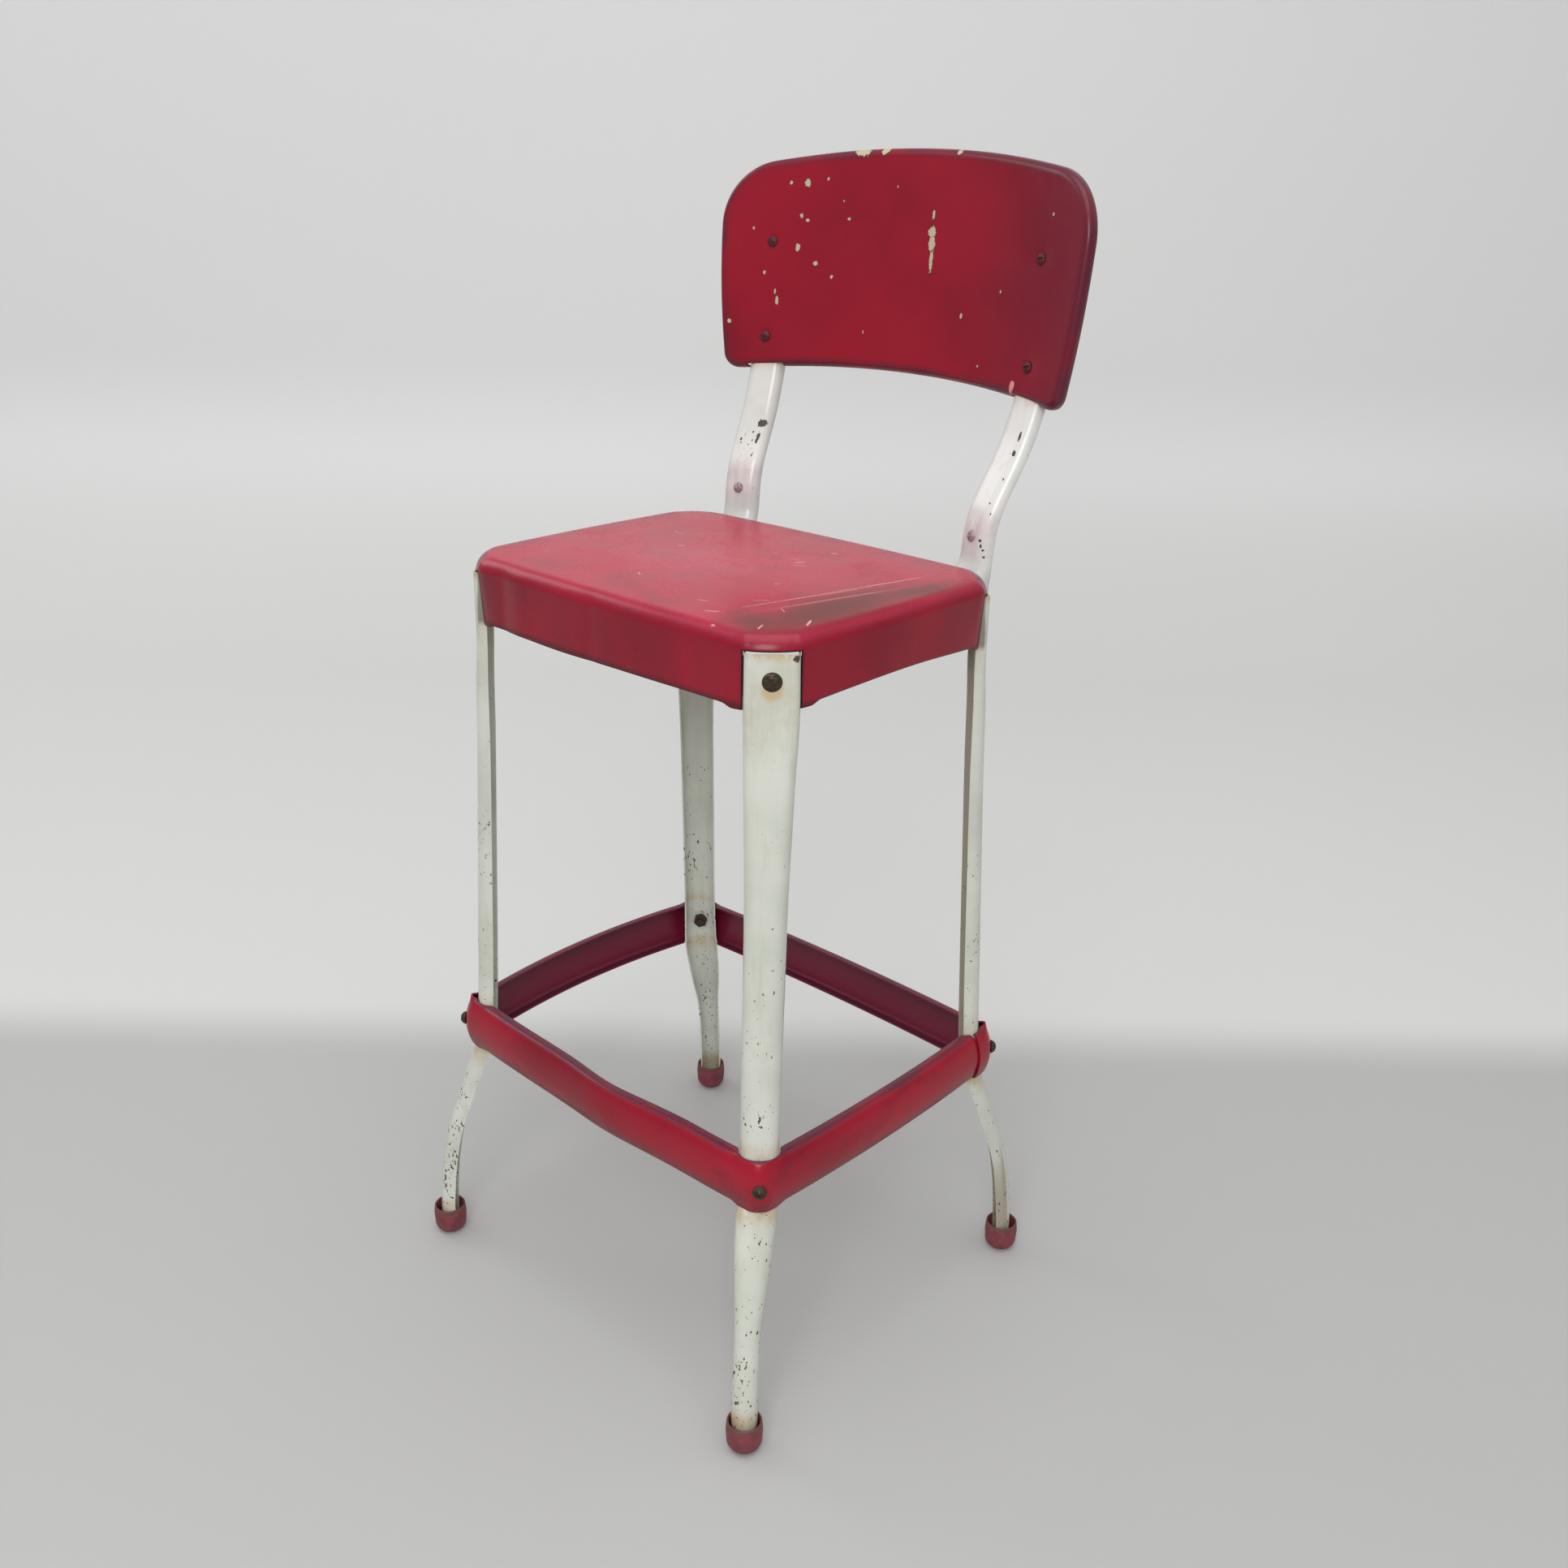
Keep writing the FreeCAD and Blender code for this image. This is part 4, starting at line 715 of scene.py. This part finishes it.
def cap_rows(centre, radius=13.5, height=25.0, bottom=8.5, wall=1.55, taper=0.25):
    """A profile turned about the cap's axis: flat sole, round bottom, swollen
    side, rounded rim, inner wall and inner floor."""
    quarter = np.linspace(-math.pi / 2, 0, 10)
    rise = np.linspace(bottom, height - 0.8, 12)[1:]
    lip = np.linspace(0, math.pi, 9)
    share = (rise - bottom) / (height - bottom)
    reach = np.concatenate([
        [1.5, 3.2], radius - bottom + bottom * np.cos(quarter),
        radius + 0.55 * np.sin(math.pi * share) ** 2 - taper * share,
        radius - taper - wall / 2 + wall / 2 * np.cos(lip[1:]),
        [radius - taper - wall] * 3, [8.0, 3.0]])
    level = np.concatenate([
        [0.0, 0.0], bottom + bottom * np.sin(quarter), rise,
        height - 0.8 + 0.8 * np.sin(lip[1:]),
        [18.0, 11.0, CAP_FLOOR + 0.1, CAP_FLOOR, CAP_FLOOR]])
    angle, reach = np.linspace(0, 2 * math.pi, 72, endpoint=False), reach[:, None]
    return np.stack([centre[0] + reach * np.cos(angle), centre[1] + reach * np.sin(angle),
                     level[:, None] + 0 * angle], axis=-1)


for name, sign_x, sign_y in (("front_left", -1, -1), ("front_right", 1, -1),
                             ("back_left", -1, 1), ("back_right", 1, 1)):
    middle = (FOOT_X * sign_x, FOOT_Y * sign_y)
    grid_piece("cap_" + name, cap_rows(middle), rubber, ["foot_cap_" + name],
               loop=True, pole=(*middle, CAP_FLOOR), inner_pole=(*middle, 0.0))


# %% [markdown]
# ## Back posts
# A post is one channel, bent from strip. It is screwed flat to the pan's back
# skirt, swings clear of it, leans back in a soft S and runs up behind the
# panel. Its section stays the same and is carried along that line.

# %% Back posts
PANEL_TILT, PANEL_RADIUS = math.radians(5.8), 500.0
PANEL_Y, PANEL_Z = 194.6, 750.0  # middle of the sheet at the height of its lower screws


def smooth_line(values, spread):
    """A line of values, each taken as the mean of its neighbours, the nearest most."""
    reach = np.arange(-3 * spread, 3 * spread + 1)
    weights = np.exp(-0.5 * (reach / spread) ** 2)
    slope_low, slope_top = values[1] - values[0], values[-1] - values[-2]
    padded = np.concatenate([values[0] + slope_low * reach[:3 * spread],
                             values, values[-1] + slope_top * reach[3 * spread + 1:]])
    return np.convolve(padded, weights / weights.sum(), mode="valid")


def post_rows(side):
    """The bent line gives, at each height z, the middle of the face, how far
    it is turned and how deep the channel is. The section is laid across it."""
    z = np.arange(562.0, 842.5, 1.0)
    swing = soft_step((z - 592.0) / 22.0)
    rise = [0, 0.139, 0.226, 0.313, 0.400, 0.487, 0.574, 0.661, 0.748, 0.835, 0.922, 1]
    lean = [0, 0.033, 0.086, 0.162, 0.286, 0.414, 0.548, 0.667, 0.767, 0.855, 0.936, 1]
    share = np.interp((z - 614.0) / 115.0, rise, lean)
    behind = math.sqrt((PANEL_RADIUS + 1.5) ** 2 - 132.6 ** 2) - PANEL_RADIUS
    along = np.maximum(z, 729.0) - PANEL_Z + behind * math.sin(PANEL_TILT)
    along = along / math.cos(PANEL_TILT)
    on_sheet = PANEL_Y + behind * math.cos(PANEL_TILT) + along * math.sin(PANEL_TILT)
    x = 122.0 + 10.6 * share
    y = 126.0 + 7.9 * swing + (on_sheet - 133.9) * share
    x, y = smooth_line(x, 4), smooth_line(y, 4)
    turn = np.radians(2.2 + 13.2 * swing)
    depth = 13.7 - 3.2 * swing
    bend, half = 8.6, 15.5
    arc = np.linspace(0, math.pi / 2, 9)
    flat = np.linspace(-1, 1, 9)[1:-1] * (half - bend)
    across = np.concatenate([[-half] * 3, -half + bend * (1 - np.cos(arc)), flat,
                             half - bend * (1 - np.sin(arc)), [half] * 3])
    inwards = np.concatenate([[1.0, 0.66, 0.33], bend * (1 - np.sin(arc)), 0 * flat,
                              bend * (1 - np.cos(arc)), [0.33, 0.66, 1.0]])
    flange = np.concatenate([[1] * 3, [0] * (len(across) - 6), [1] * 3])
    deep = np.where(flange, bend + (depth[:, None] - bend) * inwards, inwards)
    cosine, sine = np.cos(turn)[:, None], np.sin(turn)[:, None]
    return np.stack([side * (x[:, None] + cosine * across + sine * deep),
                     y[:, None] - sine * across + cosine * deep, z[:, None] + 0 * deep],
                    axis=-1)


for name, side in (("left", -1), ("right", 1)):
    grid_piece("post_" + name, post_rows(side), post_white, ["back_post_" + name],
               sheet=1.3, flip=side < 0)


# %% [markdown]
# ## Back panel
# The panel is one sheet, curved round the sitter's back, with its edge rolled
# over and turned back. Its four screws pull shallow dimples into it.

# %% Back panel
def leant(x, y, h):
    """Points x across, y behind and h up the sheet, leant back by the panel's tilt."""
    sine, cosine = math.sin(PANEL_TILT), math.cos(PANEL_TILT)
    return np.stack([x, PANEL_Y + y * cosine + h * sine, PANEL_Z - y * sine + h * cosine],
                    axis=-1)


def up_sheet(z):
    """How far up the leaning sheet a height lies, from its lower screws."""
    return (z - PANEL_Z) / math.cos(PANEL_TILT)


def panel_rows(bend=6.0, rim=4.0):
    """Rings of the outline, from the turned-back rim over the rolled bend to the
    middle. A point x across and h up the sheet lies sqrt((500 + depth)^2 - x^2)
    from the upright axis of the curve, and the whole leans back."""
    top, low = up_sheet(898.5) - 64, up_sheet(720.5) + 12.5
    outline = bowed_outline([(128.5, top), (-128.5, top), (-158.5, low), (158.5, low)],
                            [52, 52, 12.5, 12.5], [12, 2, -11.5, 2])
    line, outwards = walk(outline, np.linspace(0, outline[2][-1], 520, endpoint=False))
    roll = np.linspace(0, math.pi / 2, 9)[1:]
    inset = np.concatenate([[0, 0, 0], bend * (1 - np.cos(roll))])
    depth = np.concatenate([[bend + rim, bend + rim / 2, bend], bend * (1 - np.sin(roll))])
    edge = line - outwards * inset[:, None, None]
    middle = np.array([0.0, up_sheet(815.0)])
    shrink = np.linspace(1, 0, 52)[1:-1, None, None] ** 0.9
    flat = np.concatenate([edge, middle + (edge[-1] - middle) * shrink])
    x, h = flat[..., 0], flat[..., 1]
    deep = np.append(depth, np.zeros(len(shrink)))[:, None]
    for screw_x, screw_z in PANEL_SCREWS:
        deep = deep + 0.7 * bell(np.hypot(x - screw_x, h - up_sheet(screw_z)), 0, 8.5)
    deep = deep + 0.22 * np.sin(x / 23 + 1) * np.sin(h / 19)
    deep = deep + 0.5 * bell(x, 28, 9) * bell(h, up_sheet(733), 5)
    y = np.sqrt((PANEL_RADIUS + deep) ** 2 - x ** 2) - PANEL_RADIUS
    return leant(x, y, h), deep, leant(0.0, 0.0, middle[1])


rows, deep, centre = panel_rows()
# the rolled lower edge, the first 12 rings, is cut away where a post passes behind it
low_edge = (rows[:-1, :, 2] + rows[1:, :, 2]) / 2 < 742
over_post = np.abs(np.abs(rows[:-1, :, 0]) - 132.4) < 15.9
drop = low_edge & over_post & ((deep[:-1] + deep[1:]) / 2 > 0.9)
drop[12:] = False
# how near each ring of points is to the rolled edge, which the panel's finish reads
near_edge = np.interp(np.arange(len(rows)), [0, 5, 10, 14], [0.8, 1.0, 0.7, 0.0])
grid_piece("back_panel", rows, panel_red, ["backrest_panel"], sheet=1.2,
           loop=True, pole=centre, drop=drop, marked=near_edge)


# %% [markdown]
# ## Foot ring
# The ring is two long strips, each pressed into a bulged wall with both edges
# rolled in, and bent round the legs. Each lies over the other at one corner.
# The lips are cut away where a leg stands in them. Feet have bent the front
# strip into a wave.

# %% Foot ring
def in_leg(x, y, z, room):
    """Whether points lie inside a leg's channel, grown by some room. The leg's
    face middle, half width and bend are read off at each height."""
    level = [147.0, 190.0, 209.0, 245.0]
    face_x = np.interp(z, level, [174.6, 166.3, 165.0, 164.0])
    face_y = np.interp(z, level, [146.0, 132.7, 130.7, 129.0])
    half = np.interp(z, level, [14.0, 15.1, 14.6, 14.2]) + room
    bend = 12.0 + room
    side_x, side_y = np.abs(x) - face_x, np.abs(y) - face_y
    across = np.abs(side_x - side_y) / math.sqrt(2)
    deep = -(side_x + side_y) / math.sqrt(2) + room
    edge = np.clip(across - (half - bend), 0, bend)
    return (across < half) & (deep > bend - np.sqrt(bend ** 2 - edge ** 2)) & (deep < 16)


def front_wave(x, outwards):
    """How far feet have pushed the front strip out (+) or in (-) along x."""
    on_front = np.clip(-outwards[:, 1] * 4 - 3, 0, 1)
    return on_front * (3.9 * bell(x, 14, 38) - 0.8 * bell(x, 92, 24))


def ring_rows(first, bulge=45.0, half_high=20.5, bend=6.0, lap=11.0, tilt=math.radians(3.0)):
    """The section carried along half the outline, from corner number first, with a
    plain tab at its end. The section is a wall of radius bulge, bent in at both edges."""
    corners = [(161.0, 126.7), (-161.0, 126.7), (-161.0, -126.7), (161.0, -126.7)]
    bows = [5.0, 13.0, 5.5, 4.5]
    outline = bowed_outline(corners[first:] + corners[:first], [11.6, 10, 10, 10],
                            bows[first:] + bows[:first])
    marks = outline[3]
    end = marks[4] + lap
    places = np.concatenate([np.arange(-lap, end, 0.9), [end]])
    line, outwards = walk(outline, places)
    hub = -math.sqrt(bulge ** 2 - half_high ** 2)
    slope = math.asin((half_high - bend) / (bulge - bend))
    knee = hub + (bulge - bend) * math.cos(slope)
    lip = np.linspace(knee - 3.5, knee, 5)[:-1]
    turn = np.linspace(math.pi / 2, slope, 9)[:-1]
    wall = np.linspace(-slope, slope, 15)
    top_out = np.concatenate([lip, knee + bend * np.cos(turn)])
    top_up = np.concatenate([lip * 0 + half_high, half_high - bend + bend * np.sin(turn)])
    out = np.concatenate([top_out, hub + bulge * np.cos(wall), top_out[::-1]])
    rise = np.concatenate([-top_up, bulge * np.sin(wall), top_up[::-1]])
    plain = np.linspace(-1, 1, len(out)) * math.asin(16.0 / bulge)
    tab = np.clip((places - (marks[3] - 14.0)) / 3.0, 0, 1)[:, None]
    out = out * (1 - tab) + (hub + bulge * np.cos(plain)) * tab
    rise = rise * (1 - tab) + bulge * np.sin(plain) * tab
    # over the outer lap the top lip was cut for the leg and stands straight, like a horn
    horn = bell(places, marks[0] / 2, 9.0)[:, None]
    past = np.clip(np.arange(out.shape[1]) - (out.shape[1] - 13), 0, 12)
    upright = hub + bulge * math.cos(slope) - 0.10 * past
    upper = bulge * math.sin(slope) + 0.52 * past
    out = np.where(past > 0, out * (1 - horn) + upright * horn, out)
    rise = np.where(past > 0, rise * (1 - horn) + upper * horn, rise)
    out, rise = (out * math.cos(tilt) - rise * math.sin(tilt),
                 out * math.sin(tilt) + rise * math.cos(tilt))
    # each lip is cut back to 0.3 mm from a leg where one stands in it
    half, count = len(top_out), out.shape[1]
    tries = np.linspace(-10, 3, 53)
    for part, level in ((slice(0, half), 189.0), (slice(count - half, count), 227.5)):
        x = line[:, :1] + outwards[:, :1] * tries
        y = line[:, 1:] + outwards[:, 1:] * tries
        hit = in_leg(x, y, np.full_like(x, level), 0.5)
        wall_stop = np.where(hit, tries, -99).max(axis=1)
        start = out[:, part].max(axis=1)
        tip = out[:, part].min(axis=1)
        keep = smooth_line(np.clip((start - wall_stop - 0.3) / (start - tip), 0.12, 1.0), 1)
        out[:, part] = start[:, None] - (start[:, None] - out[:, part]) * keep[:, None]
    out = out + front_wave(line[:, 0], outwards)[:, None] * (0.85 + 0.012 * rise)
    plan = line[:, None] + outwards[:, None] * out[..., None]
    return np.concatenate([plan, RING_MIDDLE + rise[..., None]], axis=-1)


for name, first in (("front", 2), ("back", 0)):
    grid_piece("ring_" + name, ring_rows(first), ring_red, ["foot_ring_" + name],
               sheet=1.5, flip=True)


# %% [markdown]
# ## Dressing the solids
# Each solid that keeps its own shape gets the finish of the real piece.

# %% Finishes onto nodes
# what the names of nodes start with, and their finish
FINISHES = {
    "leg_": leg_white, "post_rivets": rivet_white_in_shade, "seat_screws": browned,
    "ring_bolts": browned, "ring_nuts": browned, "backrest_screws": painted_over,
    "corner_bracket": zinc, "post_stiffener": zinc, "seat_screw_nuts": zinc,
    "post_screws": zinc, "post_nuts": zinc, "backrest_nuts": zinc,
}
dressed = 0
for node_name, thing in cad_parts.items():
    for start, finish in FINISHES.items():
        if node_name.startswith(start):
            thing.data.materials.clear()
            thing.data.materials.append(finish)
            dressed += 1
print("dressed", dressed, "nodes")


# %% [markdown]
# ## Floor, wall, light and camera
# The stool stands on a pale floor in front of a pale wall. One curved sheet
# is both, so that no line shows. Large soft lamps and a pale sky, darker near
# the horizon, give the flat light of a bright room whose far side is dim.
# Behind the stool the sheet glows a little, but only where the camera or a
# reflection sees it, so it is as pale as a near wall and lights nothing.

# %% Floor and wall
VIEW_AZIMUTH = math.radians(42.64)  # of the photograph's camera, from the stool's front


def sweep_floor(width=9.0, front=-5.0, back=1.6, bend=0.5, height=5.0):
    """A sheet that runs flat, turns up round a quarter circle, and stands up,
    turned about the upright axis to face the camera."""
    turn = np.linspace(0, math.pi / 2, 24)
    y = np.concatenate([[front], back + bend * np.sin(turn), [back + bend]])
    z = np.concatenate([[0.0], bend * (1 - np.cos(turn)), [height]])
    sine, cosine = math.sin(VIEW_AZIMUTH), math.cos(VIEW_AZIMUTH)
    x, depth = np.meshgrid([-width / 2, width / 2], y)
    grid = np.stack([x * cosine - depth * sine, x * sine + depth * cosine, z[:, None] + 0 * x],
                    axis=-1)
    row = np.arange(len(y) - 1) * 2
    faces = np.stack([row, row + 1, row + 3, row + 2], axis=1)
    return grid.reshape(-1, 3), faces.tolist()


floor_paint, tree, shader, place, xyz = new_finish("pale_floor")
pale = blend(tree, fade(tree, xyz["Z"], 0.0, 0.35), paint("#B7B7B5"), paint("#DCDCDC"))
rays = add(tree, "ShaderNodeLightPath").outputs
seen = math_of(tree, "MAXIMUM", rays["Is Camera Ray"], rays["Is Glossy Ray"])
away = math_of(tree, "SUBTRACT", times(tree, xyz["Y"], math.cos(VIEW_AZIMUTH)),
               times(tree, xyz["X"], math.sin(VIEW_AZIMUTH)))
glow = times(tree, fade(tree, away, 0.28, 0.40), fade(tree, xyz["Z"], 0.0, 0.25, 0.20, 0.11),
             fade(tree, xyz["Z"], 1.0, 2.4, 1.0, 0.5))
feed(tree, shader, {"Base Color": pale, "Roughness": 0.6, "Emission Color": (1, 1, 1, 1),
                    "Emission Strength": times(tree, seen, glow)})
floor = new_piece("floor", *sweep_floor(), floor_paint)

# %% Sky
world = bpy.data.worlds.new("soft_room")
bpy.context.scene.world = world
world.use_nodes = True
sky = world.node_tree
way = add(sky, "ShaderNodeTexCoord").outputs["Generated"]
height = add(sky, "ShaderNodeSeparateXYZ", {0: way}).outputs["Z"]
feed(sky, sky.nodes["Background"], {"Strength": fade(sky, height, 0.05, 0.75, 0.30, 0.66),
                                    "Color": (1, 1, 1, 1)})
print("sky strength from 0.30 to 0.66")

# %% Lamps
from mathutils import Matrix, Vector


def lamp(name, place, target, size, power):
    """A square lamp of some size in metres and power in watts, aimed at a target."""
    light = bpy.data.lights.new(name, "AREA")
    light.shape = "SQUARE"
    light.size = size
    light.energy = power
    thing = bpy.data.objects.new(name, light)
    thing.location = place
    thing.rotation_euler = (Vector(target) - Vector(place)).to_track_quat("-Z", "Y").to_euler()
    bpy.context.collection.objects.link(thing)


lamp("front_light", (1.5, -2.0, 1.9), (0, 0, 0.4), 1.3, 36)
lamp("ceiling_light", (0.4, -0.4, 3.2), (0, 0, 0.4), 2.4, 31)
lamp("window_light", (-2.9, -0.6, 2.4), (0, 0, 0.5), 1.4, 14)
print("lamps made")

# %% Camera at the photograph's view
# turned by the photograph's roll, then tipped down, then swung round to its azimuth
ELEVATION, ROLL = math.radians(22.02), math.radians(1.08)
FOCAL_PIXELS, PHOTO_PIXELS = 1908.46, 1932
camera_data = bpy.data.cameras.new("photo_view")
camera_data.sensor_width = 36.0
camera_data.lens = camera_data.sensor_width * FOCAL_PIXELS / PHOTO_PIXELS
camera = bpy.data.objects.new("photo_view", camera_data)
camera.matrix_world = (Matrix.Translation((0.7968, -0.7986, 0.8894))
                       @ Matrix.Rotation(VIEW_AZIMUTH, 4, "Z")
                       @ Matrix.Rotation(math.pi / 2 - ELEVATION, 4, "X")
                       @ Matrix.Rotation(ROLL, 4, "Z"))
bpy.context.collection.objects.link(camera)
bpy.context.scene.camera = camera
bpy.context.scene.view_settings.view_transform = "Standard"
print("lens", round(camera_data.lens, 2))
